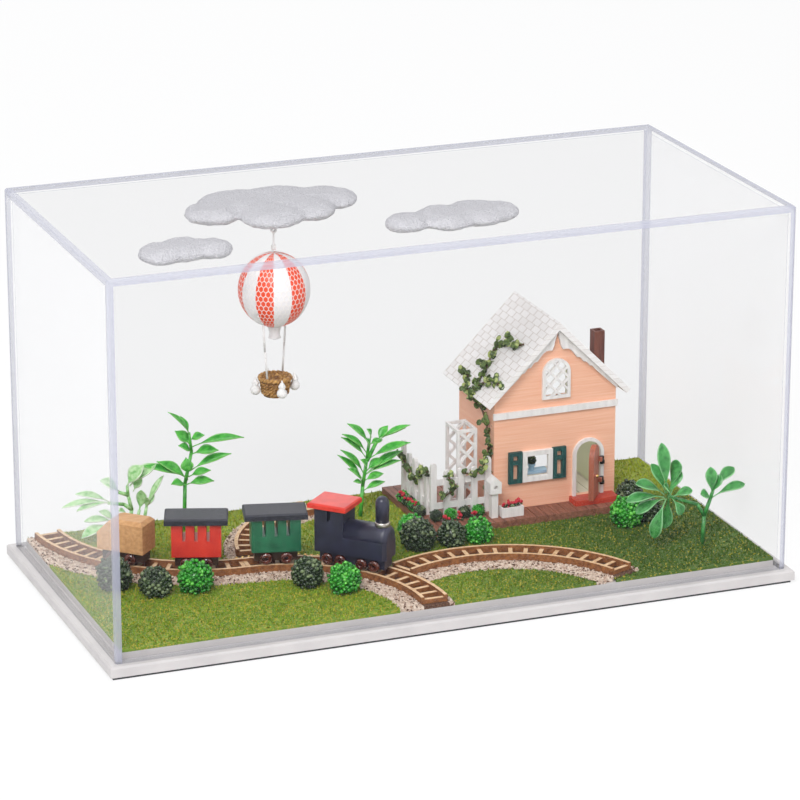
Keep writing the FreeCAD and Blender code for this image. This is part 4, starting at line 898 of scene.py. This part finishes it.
def leaf_plastic(name, deep, green, pale, rim):
    """Soft polyethylene: glossy, paler in patches where the colour ran thin, darker in blots of painted shade, and
    with a paler rim.
    """
    material, tree, shader = surface(name, 0.3)
    across = add(tree, "SeparateXYZ", (add(tree, "UVMap", uv_map="leaf"),)).outputs
    reach = add(tree, "Math", (across[1], 0.5), operation="SUBTRACT")
    reach = add(tree, "Math", (reach,), operation="ABSOLUTE")
    outer = add(tree, "MapRange", (reach, 0.38, 0.5))
    past_stem = add(tree, "MapRange", (across[0], 0.01, 0.03))
    edge = add(tree, "Math", (outer, past_stem), operation="MULTIPLY")
    streak = mottle(tree, 1.6)
    # Darker blots of the deep green are painted shade.
    shaded = add(tree, "MapRange", (streak, 0.0, 0.7, 1.0, 0.0))
    tone = add(tree, "Mix", {0: mottle(tree, 7), 6: green, 7: pale}, data_type="RGBA")
    tone = add(tree, "Mix", {0: shaded, 6: tone, 7: deep}, data_type="RGBA")
    coat(tree, shader, add(tree, "Mix", {0: edge, 6: tone, 7: rim}, data_type="RGBA"), streak, 0.15, 0.3)
    return material


def plant(name, material, depth, spoon, point, stems, blades):
    """Stems through points (x, z), and blades as (start x, start z, tip x, tip z, width), at one depth."""
    shape = bmesh.new()
    shape.loops.layers.uv.new("leaf")
    for stem in stems:
        points = [at(x, depth, z) for x, z in stem]
        tube(shape, points, [stem_radius - stem_taper * index / len(points) for index in range(len(points))])
    for start_x, start_z, tip_x, tip_z, width in blades:
        tip = at(tip_x, depth + chance.uniform(-3, 2), tip_z)
        leaf(shape, at(start_x, depth, start_z), tip, width, spoon, point)
    made = piece(shape, name, "base", [material], ("plastic_plants",))
    wall = made.modifiers.new("leaf_thickness", "SOLIDIFY")
    wall.thickness = leaf_wall * MM

# %% [markdown]
# ## The four plants
# A pale plant with broad leaves stands at the back left, two palms behind the train, and a plant with spoon
# leaves at the front right. Every stem and leaf is given one by one: stems run through points across and up,
# and a leaf has its start, its tip and its width.

# %% The four plants
chance = random.Random(21)
fresh_leaf = leaf_plastic("green_polyethylene", "#1F8A20", "#3CAF34", "#66C84E", "#8AD66C")
pale_leaf = leaf_plastic("pale_green_polyethylene", "#6FBE5C", "#A8DC90", "#D4EEC4", "#E6F4DC")
jade_leaf = leaf_plastic("jade_green_polyethylene", "#226A2C", "#35883C", "#55A656", "#8CC98A")
broad_stems = (
    [(-82, 8), (-80.3, 17.6), (-81.5, 23), (-81.7, 26.3)],
    [(-81.5, 23), (-84.8, 24.4)],
    [(-80.3, 17.6), (-83, 19.8), (-88.7, 21)],
    [(-82, 8), (-85.5, 14.5), (-88.7, 13)],
    [(-82, 8), (-78.6, 13), (-77.6, 17)],
    [(-82, 8), (-76, 13), (-75, 17.8)],
)
broad_blades = (
    (-81.7, 26, -76.3, 33.4, 6.2),
    (-80.7, 26, -71.1, 32.6, 5.0),
    (-79.5, 24, -76.3, 28.2, 3.6),
    (-77.6, 16.5, -76.9, 24.4, 3.8),
    (-75.2, 16.9, -75.7, 22.3, 2.2),
    (-74.9, 17.4, -68.4, 28, 2.4),
    (-74.9, 17.4, -71.8, 21.3, 2.4),
    (-84.5, 24.2, -91.5, 29.5, 4.8),
    (-88, 21, -100.3, 25.7, 3.2),
    (-88.5, 21, -105.5, 21.9, 2.8),
    (-88, 20.8, -100.7, 20.5, 2.8),
    (-87, 14, -97.6, 15.7, 3.4),
    (-86.5, 14, -92, 18.4, 3.4),
    (-88.5, 13, -99, 10.5, 4.2),
    (-88, 13, -94, 10, 3.4),
    (-82.3, 16, -85.5, 18.2, 3.0),
)
plant("broad_plant", pale_leaf, 43, 1.1, 0.75, broad_stems, broad_blades)
palm_stems = ([(-62, 8), (-61.4, 25), (-58.9, 36), (-59.7, 43)],)
palm_blades = (
    (-61.2, 24.2, -67.0, 25.8, 4.0),
    (-61.2, 24.2, -51.9, 25.4, 4.0),
    (-60.5, 26.5, -76.4, 32.2, 3.6),
    (-60.5, 26.0, -71.2, 33.7, 4.4),
    (-60.2, 27.5, -60.5, 33.7, 4.6),
    (-59.6, 29.0, -44.6, 33.4, 3.6),
    (-60.0, 27.0, -53.0, 29.4, 3.6),
    (-59.1, 35.0, -49.7, 35.7, 4.6),
    (-59.1, 37.5, -40.2, 38.9, 3.6),
    (-59.5, 40.0, -54.9, 42.2, 3.6),
    (-59.5, 38.5, -64.2, 43.5, 4.4),
    (-59.1, 35.8, -64.0, 39.1, 4.0),
    (-59.7, 42.1, -67.8, 52.0, 2.4),
    (-59.7, 42.6, -62.3, 49.0, 2.2),
)
plant("tall_palm", fresh_leaf, 42, 0.9, 1.1, palm_stems, palm_blades)
low_stems = (
    [(-0.9, 8), (0.0, 19), (1.6, 29), (2.6, 36)],
    [(1.6, 28), (5.0, 34.3), (6.4, 35.2)],
)
low_blades = (
    (-0.5, 20.5, -6.4, 26.9, 3.4),
    (-0.2, 21.5, -8.7, 30.9, 2.6),
    (0.2, 23.5, -8.5, 33.5, 2.8),
    (0.8, 29.5, -8.0, 37.8, 2.8),
    (1.2, 31.0, -8.1, 39.3, 2.8),
    (2.0, 34.5, -5.9, 42.6, 3.2),
    (2.6, 35.8, 0.7, 40.4, 3.4),
    (1.8, 32.0, -0.6, 37.5, 3.0),
    (5.6, 34.6, 9.9, 39.3, 3.4),
    (6.2, 35.0, 16.9, 39.7, 2.4),
    (6.2, 35.0, 16.2, 37.8, 2.2),
    (2.2, 28.5, 16.9, 33.3, 3.6),
    (2.2, 33.5, 8.0, 34.1, 2.8),
    (1.2, 23.0, 15.4, 29.4, 3.6),
    (1.2, 23.0, 14.4, 26.2, 2.8),
    (1.2, 24.0, 8.0, 27.8, 3.6),
    (0.4, 20.6, 7.6, 22.5, 3.4),
    (0.0, 17.0, 8.4, 19.2, 2.8),
    (0.9, 24.5, -1.7, 29.6, 3.8),
    (0.0, 19.8, -3.7, 21.2, 2.2),
)
plant("low_palm", fresh_leaf, 33, 0.9, 1.0, low_stems, low_blades)
spoon_stems = (
    [(97.8, 8), (98.3, 18), (95.6, 22.5), (88, 25.5), (84.5, 27)],
    [(98.3, 18), (100.5, 24), (101.5, 27)],
)
spoon_blades = (
    (84, 28, 82.3, 45.7, 4.6),
    (85, 28, 86.7, 40.2, 4.2),
    (83.5, 28, 78.8, 38.5, 4.0),
    (85.5, 27, 89.8, 34.8, 4.2),
    (83, 27.5, 72.1, 33, 4.8),
    (83, 26.5, 68.7, 27.2, 4.4),
    (83.5, 26, 72.8, 22.3, 4.4),
    (84, 26, 79.2, 12.9, 4.6),
    (85, 26, 84.2, 14.7, 4.6),
    (86, 26, 89.2, 20, 4.2),
    (84.5, 26, 81.5, 32, 4.2),
    (86, 26, 92.5, 28.5, 4.0),
    (101, 25, 100.5, 35, 4.2),
    (101.5, 27, 110, 33, 4.4),
    (101, 24, 113, 27.5, 4.0),
    (100.5, 24, 96.5, 26, 4.4),
    (101, 25, 104, 32, 4.2),
)
plant("spoon_plant", jade_leaf, -34, 1.7, 0.6, spoon_stems, spoon_blades)

# %% [markdown]
# ## Ivy
# The ivy is a brown wire with small cupped leaves of matt paper. It climbs beside the corner of the house,
# turns over the eaves and spreads on the left slope of the roof, and shorter lengths wind through the fence.
# The wire is given point by point. Leaves stand along it by chance, because no two clusters are alike.

# %% Ivy
wall_climb = ((40.3, 17.5, 11), (40.3, 17.5, 30), (40.3, 16.5, 36), (40.3, 19, 41), (40.2, 24, 46.5))
over_eaves = ((40.2, 24, 46.5), (36.6, 25.5, 49.5), (40.5, 26.7, 54.4))
ivy_runs = (
    wall_climb,
    over_eaves,
    ((40.5, 26.7, 54.4), (44.0, 28.9, 57.8), (48.4, 33.1, 62.2), (50.8, 32.7, 64.6), (54.1, 30.0, 68.0)),
    ((51.8, 32.0, 65.4), (52.7, 23.6, 66.5), (54.2, 19.8, 68.0)),
    ((44.0, 28.9, 57.8), (44.9, 36.0, 58.6)),
    ((37.5, 25.0, 51.2), (37.1, 31.0, 50.9), (40.0, 35.5, 53.7), (40.8, 43.0, 54.6)),
    ((39.5, 25.0, 53.4), (41.8, 22.2, 55.5), (43.0, 17.6, 56.8), (42.6, 12.8, 56.3)),
    ((40.3, 17.5, 29), (36.5, 15.0, 26.0), (33.5, 14.8, 25.0), (30.0, 14.9, 26.0)),
    ((26.0, 15.0, 26.0), (24.7, 14.8, 25.0), (27.3, 14.8, 20.7), (23.7, 14.8, 18.6), (21.6, 14.8, 17.4)),
    ((18.0, 18.0, 27.0), (17.8, 25.0, 24.5), (17.8, 30.0, 20.0), (17.8, 36.0, 23.0), (17.8, 42.0, 25.0)),
)
vine_radius = 0.35
leaf_pitch = 0.75
leaf_radius = 1.05
ivy_leaf_wall = 0.15
bract = bmesh.new()
bmesh.ops.create_circle(bract, cap_ends=True, segments=7, radius=1.0)
bmesh.ops.poke(bract, faces=bract.faces[:], offset=-0.45)
bract_mesh = small_mesh(bract)
chance = random.Random(8)
vine = bmesh.new()
leaves = bmesh.new()
for run in ivy_runs:
    route = [at(*point) for point in run]
    tube(vine, route, [vine_radius] * len(route), 6)
    placings = []
    for start, end in zip(route, route[1:]):
        count = max(2, int((end - start).length / (leaf_pitch * MM)))
        for index in range(count):
            spot = start + (end - start) * (index / count)
            spot += Vector((chance.gauss(-0.4, 0.7), chance.gauss(-0.4, 0.9), chance.gauss(0.4, 0.7))) * MM
            aim = Vector((chance.gauss(-0.6, 0.7), chance.gauss(-1.0, 0.6), chance.gauss(0.5, 0.7)))
            size = leaf_radius * chance.uniform(0.65, 1.15)
            turn = aim.to_track_quat("Z", "Y").to_matrix().to_4x4()
            grow = sized(Vector((0, 0, 0)), size, size * 1.2, size)
            placings.append(Matrix.Translation(spot) @ turn @ grow)
    scatter(leaves, bract_mesh, placings)
twig = mottled("brown_wrapped_wire", "#3A2A1C", "#6B5238", 1.0, 0.7)
piece(vine, "ivy_stems", "base", [twig], ("ivy",))
ivy_green, tree, shader = surface("matt_green_paper", 0.5)
pick = grains(tree, 1.4)
tone = add(tree, "Mix", {0: pick[0], 6: "#33431F", 7: "#677F3C"}, data_type="RGBA")
# The few much lighter leaves are painted highlights.
few = add(tree, "Math", (pick[1], 0.8), operation="GREATER_THAN")
coat(tree, shader, add(tree, "Mix", {0: few, 6: tone, 7: "#A9B56E"}, data_type="RGBA"))
leaf_piece = piece(leaves, "ivy_leaves", "base", [ivy_green], ("ivy",))
wall = leaf_piece.modifiers.new("leaf_thickness", "SOLIDIFY")
wall.thickness = ivy_leaf_wall * MM

# %% [markdown]
# ## Flowers
# The flowers are clusters of red foam crumbs over dark green ones, in the flower box and along the fence.
# Petals would be too small to see, so the crumb of the bushes serves for both.

# %% Flowers
petals_per_head = 7
sprigs_per_head = 10
red_dye = mottled("red_dyed_foam", "#A81326", "#E23545", 1.2, 0.5)
blooms = bmesh.new()
greens = bmesh.new()
low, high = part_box("flower_box")
box_middle = (low[1] + high[1]) / 2
heads = []
for share, lift in ((0.2, 0.6), (0.4, 1.1), (0.6, 0.7), (0.8, 1.4)):
    heads.append(Vector((low[0] + (high[0] - low[0]) * share, box_middle, high[2] + lift * MM)))
heads += [at(shrub[0] + shrub_pitch / 2, shrub[1] - 2.0, deck_top + 1.6) for shrub in shrubs[:3]]
heads += [at(15.2, 24.0, deck_top + 3.2), at(15.4, 29.0, deck_top + 3.0), at(15.2, 34.5, deck_top + 3.4)]
petals = []
sprigs = []
for head in heads:
    for index in range(petals_per_head):
        spot = head + Vector([chance.gauss(0, 0.55) for _ in range(3)]) * MM
        petals.append(sized(spot, chance.uniform(0.45, 0.7)))
    for index in range(sprigs_per_head):
        spot = head + Vector((chance.gauss(0, 0.8), chance.gauss(0, 0.6), chance.uniform(-1.3, -0.4))) * MM
        sprigs.append(sized(spot, chance.uniform(0.4, 0.6)))
scatter(blooms, crumb_mesh, petals)
scatter(greens, crumb_mesh, sprigs)
piece(blooms, "red_flowers", "base", [red_dye], ("flowers",))
piece(greens, "flower_leaves", "base", [dark_foam])

# %% [markdown]
# ## Clouds
# The clouds are pads of foam flock, flat and softly lobed, glued under the lid. Flattened balls, one for
# each lobe, are melted into one skin by a voxel remesh and smoothed. Metaballs would melt them too, but the
# remesh keeps the size of each lobe. Flock is dull and has a fine grain, and its light grey tone is painted
# shade, the grey it shows when seen from below.

# %% Clouds
ceiling = 129.0
cloud_thickness = 5.5
cloud_voxel = 0.7
soften_rounds = 24
large_lobes = (
    (-20, -3, 10.0),
    (-9, 4, 14.5),
    (5, 3, 16.0),
    (20, 1.5, 12.0),
    (-3, -13, 11.0),
    (10, -9, 10.5),
)
left_lobes = ((-8, -1, 7.6), (0.5, 1.5, 9.2), (8.5, -1, 7.2))
right_lobes = ((-17.5, -3, 7.6), (-3, -1.5, 11.5), (8, 0, 11.5), (15.5, -1, 7.4))
flock_white, tree, shader = surface("white_foam_flock", 1.0, **{"Specular IOR Level": 0.1})
grain_noise = mottle(tree, 0.6, detail=4.0)
# The light grey tone is painted shade, the grey the flock shows from below.
tone = add(tree, "Mix", {0: grain_noise, 6: "#C6C5CA", 7: "#DAD9DD"}, data_type="RGBA")
coat(tree, shader, tone, grain_noise, 0.8, 0.5)
for node, middle, lobes in (
    ("cloud_large", (-37.5, 22.0), large_lobes),
    ("cloud_left", (-80.0, -19.0), left_lobes),
    ("cloud_right", (15.0, -12.0), right_lobes),
):
    pad = bmesh.new()
    for dx, dy, radius in lobes:
        spot = at(middle[0] + dx, middle[1] + dy, ceiling - cloud_thickness / 2)
        stretch = sized(spot, radius, radius, cloud_thickness / 2 + 0.4)
        bmesh.ops.create_icosphere(pad, subdivisions=3, radius=1.0, matrix=stretch)
    cloud = piece(pad, "foam_" + node, "cover", [flock_white], (node,))
    melt = cloud.modifiers.new("melt", "REMESH")
    melt.mode = "VOXEL"
    melt.voxel_size = cloud_voxel * MM
    melt.use_smooth_shade = True
    soften = cloud.modifiers.new("soften", "SMOOTH")
    soften.iterations = soften_rounds
    soften.factor = 0.5
    melted = bpy.data.meshes.new_from_object(cloud.evaluated_get(bpy.context.evaluated_depsgraph_get()))
    cloud.modifiers.clear()
    cloud.data = melted
    for vert in melted.vertices:
        lumps = noise.noise(vert.co * 150) * 0.5 + noise.noise(vert.co * 500) * 0.25
        vert.co += vert.normal * lumps * MM
        vert.co.z = min(vert.co.z, ceiling * MM)
    print(node, len(melted.polygons))

# %% [markdown]
# ## Balloon
# The balloon is a ball of white and orange rubber in a white net. Its stripes and its net follow the ball,
# so the globe gets its own map: the first coordinate runs round it and the second up it. On the seam and at
# the poles each face keeps its corners on its own side of the map.

# %% Balloon
balloon_x = -40.4
balloon_y = 8.0
envelope_middle = 101.4
envelope_radius = 12.0
envelope_half = 12.6
globe = bmesh.new()
mapping = globe.loops.layers.uv.new("globe")
bmesh.ops.create_uvsphere(globe, u_segments=48, v_segments=32, radius=1.0)
for face in globe.faces:
    middle = face.calc_center_median()
    middle_turn = math.atan2(middle.y, middle.x)
    for loop in face.loops:
        spot = loop.vert.co
        turn = math.atan2(spot.y, spot.x) if abs(spot.z) < 0.999 else middle_turn
        turn += 2 * math.pi * round((middle_turn - turn) / (2 * math.pi))
        loop[mapping].uv = (turn / (2 * math.pi) + 0.5, math.asin(max(-1, min(1, spot.z))) / math.pi + 0.5)
grow = sized(at(balloon_x, balloon_y, envelope_middle), envelope_radius, envelope_radius, envelope_half)
bmesh.ops.transform(globe, matrix=grow, verts=globe.verts)

# %% [markdown]
# ## Gores and net
# Rubber has a soft sheen. Its gores are steps in the first coordinate of the balloon's map. The net could be
# made of thin cords, but they lie flat on the rubber, so the finish draws them and a bump lifts them. The
# holes are upright hexagons in two lattices, one shifted by half a cell, and the cord is what they leave. In
# its cell, a hexagon ends at the upright sides or at the slanted ones, whichever is nearer.

# %% Gores and net
gore_count = 12
gore_turn = 10.0
net_cells = (44, 12, 1)
side_half = 0.14
point_half = 0.36
gores, tree, shader = surface("striped_rubber_in_a_net", 0.38)
globe_map = add(tree, "UVMap", uv_map="globe")
round_share = add(tree, "SeparateXYZ", (globe_map,))
steps = add(tree, "Math", (round_share, gore_turn / 360), operation="SUBTRACT")
steps = add(tree, "Math", (steps, gore_count / 2), operation="MULTIPLY")
steps = add(tree, "Math", (steps,), operation="FRACT")
is_orange = add(tree, "Math", (steps, 0.5), operation="GREATER_THAN")
rubber = add(tree, "Mix", {0: is_orange, 6: "#EAE6E7", 7: "#EA4408"}, data_type="RGBA")
cells = add(tree, "VectorMath", (globe_map, net_cells), operation="MULTIPLY")
slant = (point_half - side_half) / 0.5
reaches = []
for shift in (0.0, 0.5):
    inner = add(tree, "VectorMath", (cells, (shift, shift, 0)), operation="ADD")
    inner = add(tree, "VectorMath", (inner,), operation="FRACTION")
    inner = add(tree, "VectorMath", (inner, (0.5, 0.5, 0)), operation="SUBTRACT")
    inner = add(tree, "VectorMath", (inner,), operation="ABSOLUTE")
    reach = add(tree, "SeparateXYZ", (inner,)).outputs
    upright = add(tree, "Math", (reach[0], 2.0), operation="MULTIPLY")
    slanted = add(tree, "Math", (reach[0], slant), operation="MULTIPLY")
    slanted = add(tree, "Math", (reach[1], slanted), operation="ADD")
    slanted = add(tree, "Math", (slanted, point_half), operation="DIVIDE")
    reaches.append(add(tree, "Math", (upright, slanted), operation="MAXIMUM"))
nearest = add(tree, "Math", reaches, operation="MINIMUM")
cord = add(tree, "MapRange", (nearest, 0.8, 0.94))
coat(tree, shader, add(tree, "Mix", {0: cord, 6: rubber, 7: "#F6F0EC"}, data_type="RGBA"), cord, 0.5, 0.3)
piece(globe, "balloon_ball", "balloon", [gores], ("balloon_envelope",))

# %% [markdown]
# ## Balloon's neck
# The neck is the balloon's own nozzle, a short tube of thick rubber with a rolled lip. It is spun from its
# profile, from the ball down to the lip.

# %% Balloon's neck
neck_tube = [(0, 89.4), (2.9, 89.4), (2.2, 88.2), (1.7, 86.6)]
neck_lip = [(1.9, 85.4), (2.1, 84.8), (1.5, 84.5), (0, 84.9)]
neck = spun(neck_tube + neck_lip)
bmesh.ops.translate(neck, vec=at(balloon_x, balloon_y, 0), verts=neck.verts)
nozzle = mottled("white_rubber", "#E0DBDB", "#F3F0EF", 2.5, 0.35, 0.05)
piece(neck, "balloon_nozzle", "balloon", [nozzle], ("balloon_neck",))

# %% [markdown]
# ## Basket
# The basket is woven straw with a thick plaited rim. Real canes are too fine to show here, so coarser ones
# are drawn: the wall is a spun tub with rows of small slanting lumps, and the rim is a ring of larger lumps.
# Straw is dull, each cane has its own tone, and the dark gaps between canes are painted shade.

# %% Basket
basket_top = 70.8
straw, tree, shader = surface("woven_straw", 0.6)
cane = grains(tree, 1.1)
fine = mottle(tree, 0.5)
tone = add(tree, "Mix", {0: cane[0], 6: "#8A5A26", 7: "#DCA95E"}, data_type="RGBA")
# Dark gaps between the canes are painted shade.
painted_gap_shade = add(tree, "Math", (fine, 0.6), operation="MULTIPLY")
coat(tree, shader, add(tree, "Mix", {0: painted_gap_shade, 6: tone, 7: "#4A2C10"}, data_type="RGBA"), fine, 0.4, 0.3)
wall_profile = [(0, 64.8), (3.9, 64.8), (4.2, 66.2), (4.6, 69.0), (4.9, 70.8), (4.4, 71.0)]
room_profile = [(4.1, 70.6), (3.8, 67.0), (3.4, 65.8), (0, 65.8)]
tub = spun(wall_profile + room_profile, 32)
strand = bmesh.new()
bmesh.ops.create_icosphere(strand, subdivisions=2, radius=1.0)
strand_mesh = small_mesh(strand)
placings = []
for ring, level, count, long, thick in (
    (5.0, 70.9, 20, 1.3, 0.85),
    (4.75, 69.3, 22, 0.85, 0.5),
    (4.6, 68.2, 22, 0.8, 0.5),
    (4.45, 67.1, 22, 0.8, 0.5),
    (4.3, 66.0, 20, 0.8, 0.5),
):
    for index in range(count):
        turn = 2 * math.pi * (index + level) / count
        spot = at(ring * math.cos(turn), ring * math.sin(turn), level)
        lean = Matrix.Rotation(turn, 4, "Z") @ Matrix.Rotation(math.radians(32), 4, "X")
        grow = sized(Vector((0, 0, 0)), thick, long, thick * 0.85)
        placings.append(Matrix.Translation(spot) @ lean @ grow)
scatter(tub, strand_mesh, placings)
bmesh.ops.translate(tub, vec=at(balloon_x, balloon_y, 0), verts=tub.verts)
piece(tub, "straw_basket", "balloon", [straw], ("basket",))

# %% [markdown]
# ## Ropes
# Two ropes of matt white cotton run from the basket up the sides of the balloon. They are taut, so each is a
# tube through a few points: it lies on the ball, leaves it lower down and runs to the rim with hardly a bow.
# The thread that the balloon hangs on is of the same cotton.

# %% Ropes
rope_radius = 0.36
rope_lift = 0.25
rope_ring = 5.0
rope_bow = 0.15
rim_lift = 0.8
cotton = mottled("white_cotton_cord", "#D8D6D4", "#F4F2F0", 0.6, 0.75, 0.4)
cords = bmesh.new()
envelope_centre = at(balloon_x, balloon_y, envelope_middle)
for turn in (math.radians(40), math.radians(220)):
    out = Vector((math.cos(turn), math.sin(turn), 0))
    route = []
    for climb, lift in ((20, rope_lift), (28, rope_lift), (36, rope_lift), (44, rope_lift), (52, 0)):
        lean = math.radians(climb)
        over = out * (envelope_radius + lift) * math.cos(lean)
        over.z = -envelope_half * math.sin(lean)
        route.append(envelope_centre + over * MM)
    foot = at(balloon_x, balloon_y, basket_top + rim_lift) + out * rope_ring * MM
    route += [(route[-1] + foot) / 2 + out * rope_bow * MM, foot]
    tube(cords, route, [rope_radius] * len(route))
piece(cords, "cotton_ropes", "balloon", [cotton], ("basket_ropes",))
dress(cotton, "hanging_thread")

# %% [markdown]
# ## Sandbags
# Four bags of white cloth hang round the basket, each a small gourd, tied at its waist and its neck. One is
# spun from its profile and copied to each quarter.

# %% Sandbags
bag_ring = 6.9
bag_drop = 5.0
lower = [(0, 0), (0.9, 0.1), (1.55, 0.7), (1.8, 1.5), (1.6, 2.3), (1.1, 2.9)]
upper = [(0.95, 3.2), (1.2, 3.7), (1.15, 4.2), (0.7, 4.9), (0.35, 5.4), (0.25, 6.0), (0, 6.1)]
gourd_mesh = small_mesh(spun(lower + upper, 18))
bags = bmesh.new()
for quarter in range(4):
    turn = math.radians(90 * quarter)
    aside = Vector((math.cos(turn), math.sin(turn), 0)) * bag_ring * MM
    spot = at(balloon_x, balloon_y, basket_top - bag_drop) + aside
    scatter(bags, gourd_mesh, [Matrix.Translation(spot)])
piece(bags, "cloth_sandbags", "balloon", [cotton], ("sandbags",))

# %% [markdown]
# ## Wheels
# The wheels are brown glass beads with a hole. Each wheelset turns, so it is its own piece on its own body,
# and the joint gives its middle and its axis. A bead is spun from the profile of its wall. Glass shows sharp
# lights, so its finish is smooth under a clear coat.

# %% Wheels
half_gauge = 4.0
half_axle = 3.3
axle_radius = 0.5
glass_bead = mottled("brown_glass_bead", "#2A0D08", "#6B2D1C", 1.8, 0.12, 0.0, **{"Coat Weight": 0.6})
bead_half = [(0.55, -0.72), (0.9, -0.9), (1.55, -0.86), (1.95, -0.5), (2.1, 0)]
bead_other = [(radius, -height) for radius, height in reversed(bead_half[:-1])]
bead_mesh = small_mesh(spun(bead_half + bead_other + [(0.5, 0), (0.55, -0.72)]))
for body, joint in joint_of.items():
    if "wheelset" not in body:
        continue
    axis = Vector(joint["axis"])
    middle = Vector(joint["pos_m"])
    turn = axis.to_track_quat("Z", "X").to_matrix().to_4x4()
    wheelset = bmesh.new()
    for side in (-1, 1):
        scatter(wheelset, bead_mesh, [Matrix.Translation(middle + axis * side * half_gauge * MM) @ turn])
    ends = [middle - axis * half_axle * MM, middle + axis * half_axle * MM]
    tube(wheelset, ends, [axle_radius, axle_radius], 12)
    node = frame["record"]["behaviour"]["bodies"][body][0]
    piece(wheelset, body + "_beads", body, [glass_bead], (node,))

# %% [markdown]
# ## Boiler and chimney
# The boiler is a dowel with a rounded nose, cut flat where it sits on the frame, and the chimney a peg with
# a domed top and a bright tin band. They are spun upright and then moved to where the locomotive stands.

# %% Boiler and chimney
rail_top = 10.6
body_level = 4.55
boiler_level = body_level + 6.8
boiler_radius = 4.5
loco = Matrix.Translation(at(-21.30, -16.81, rail_top)) @ Matrix.Rotation(math.radians(-46.3), 4, "Z")
barrel = [(0, -7.75), (boiler_radius, -7.75), (boiler_radius, 5.75)]
nose = [(4.35, 6.6), (3.9, 7.25), (3.2, 7.65), (2.5, 7.75), (0, 7.75)]
boiler = spun(barrel + nose, 40)
lie = Matrix.Translation(at(5.25, 0, boiler_level)) @ Matrix.Rotation(math.radians(90), 4, "Y")
bmesh.ops.transform(boiler, matrix=lie, verts=boiler.verts)
bmesh.ops.bisect_plane(
    boiler,
    geom=boiler.verts[:] + boiler.edges[:] + boiler.faces[:],
    plane_co=at(0, 0, body_level + 6.0),
    plane_no=(0, 0, 1),
    clear_inner=True,
)
bmesh.ops.transform(boiler, matrix=loco, verts=boiler.verts)
piece(boiler, "boiler", "base", [navy_paint], ("loco_boiler",))
stack_foot = loco @ Matrix.Translation(at(9.8, 0, boiler_level + boiler_radius))
peg = spun([(0, 0), (2.3, 0), (2.3, 7.4), (2.2, 8.2), (1.9, 8.9), (1.3, 9.5), (0.6, 9.8), (0, 9.9)], 24)
bmesh.ops.transform(peg, matrix=stack_foot, verts=peg.verts)
piece(peg, "chimney_peg", "base", [navy_paint], ("loco_chimney",))
band = spun([(0, -1.2), (2.55, -1.2), (2.6, 0.5), (2.5, 0.9), (2.3, 1.0), (0, 1.0)], 24)
bmesh.ops.transform(band, matrix=stack_foot, verts=band.verts)
tin = mottled("bright_tin", "#9A948C", "#D8D3CB", 1.0, 0.28, 0.05, Metallic=1.0)
piece(band, "chimney_band", "base", [tin], ("loco_chimney",))

# %% [markdown]
# ## Small brass
# The door has a small brass knob, and a row of tiny brass beads lies behind the track along the train. The
# knob is spun and stands on the half-open door, and the beads follow an arc about the track's own centre.

# %% Small brass
brass = mottled("polished_brass", "#B98B3E", "#EBCB85", 0.7, 0.25, 0.05, Metallic=1.0)
hinge = Vector(joint_of["door"]["pos_m"])
door_rest = math.radians(54)
open_turn = Matrix.Translation(hinge) @ Matrix.Rotation(door_rest, 4, "Z") @ Matrix.Translation(-hinge)
knob = spun([(0, 0), (0.4, 0), (0.35, 0.4), (0.65, 0.6), (0.72, 0.95), (0.5, 1.25), (0, 1.35)], 16)
front = Matrix.Rotation(math.radians(90), 4, "X")
knob_foot = open_turn @ Matrix.Translation(at(74.0, 14.0, 21.3))
bmesh.ops.transform(knob, matrix=knob_foot @ front, verts=knob.verts)
piece(knob, "door_knob", "door", [brass])
bead_ring = 55.3
bead_level = 10.2
bead_radius = 0.6
bead_count = 24
row_start = 38
row_pitch = 2.2
centre_x, centre_y = strips[1][:2]
placings = []
for index in range(bead_count):
    turn = math.radians(row_start + index * row_pitch)
    spot = at(centre_x + bead_ring * math.cos(turn), centre_y + bead_ring * math.sin(turn), bead_level)
    placings.append(sized(spot, bead_radius))
pins = bmesh.new()
scatter(pins, strand_mesh, placings)
piece(pins, "brass_beads", "base", [brass])
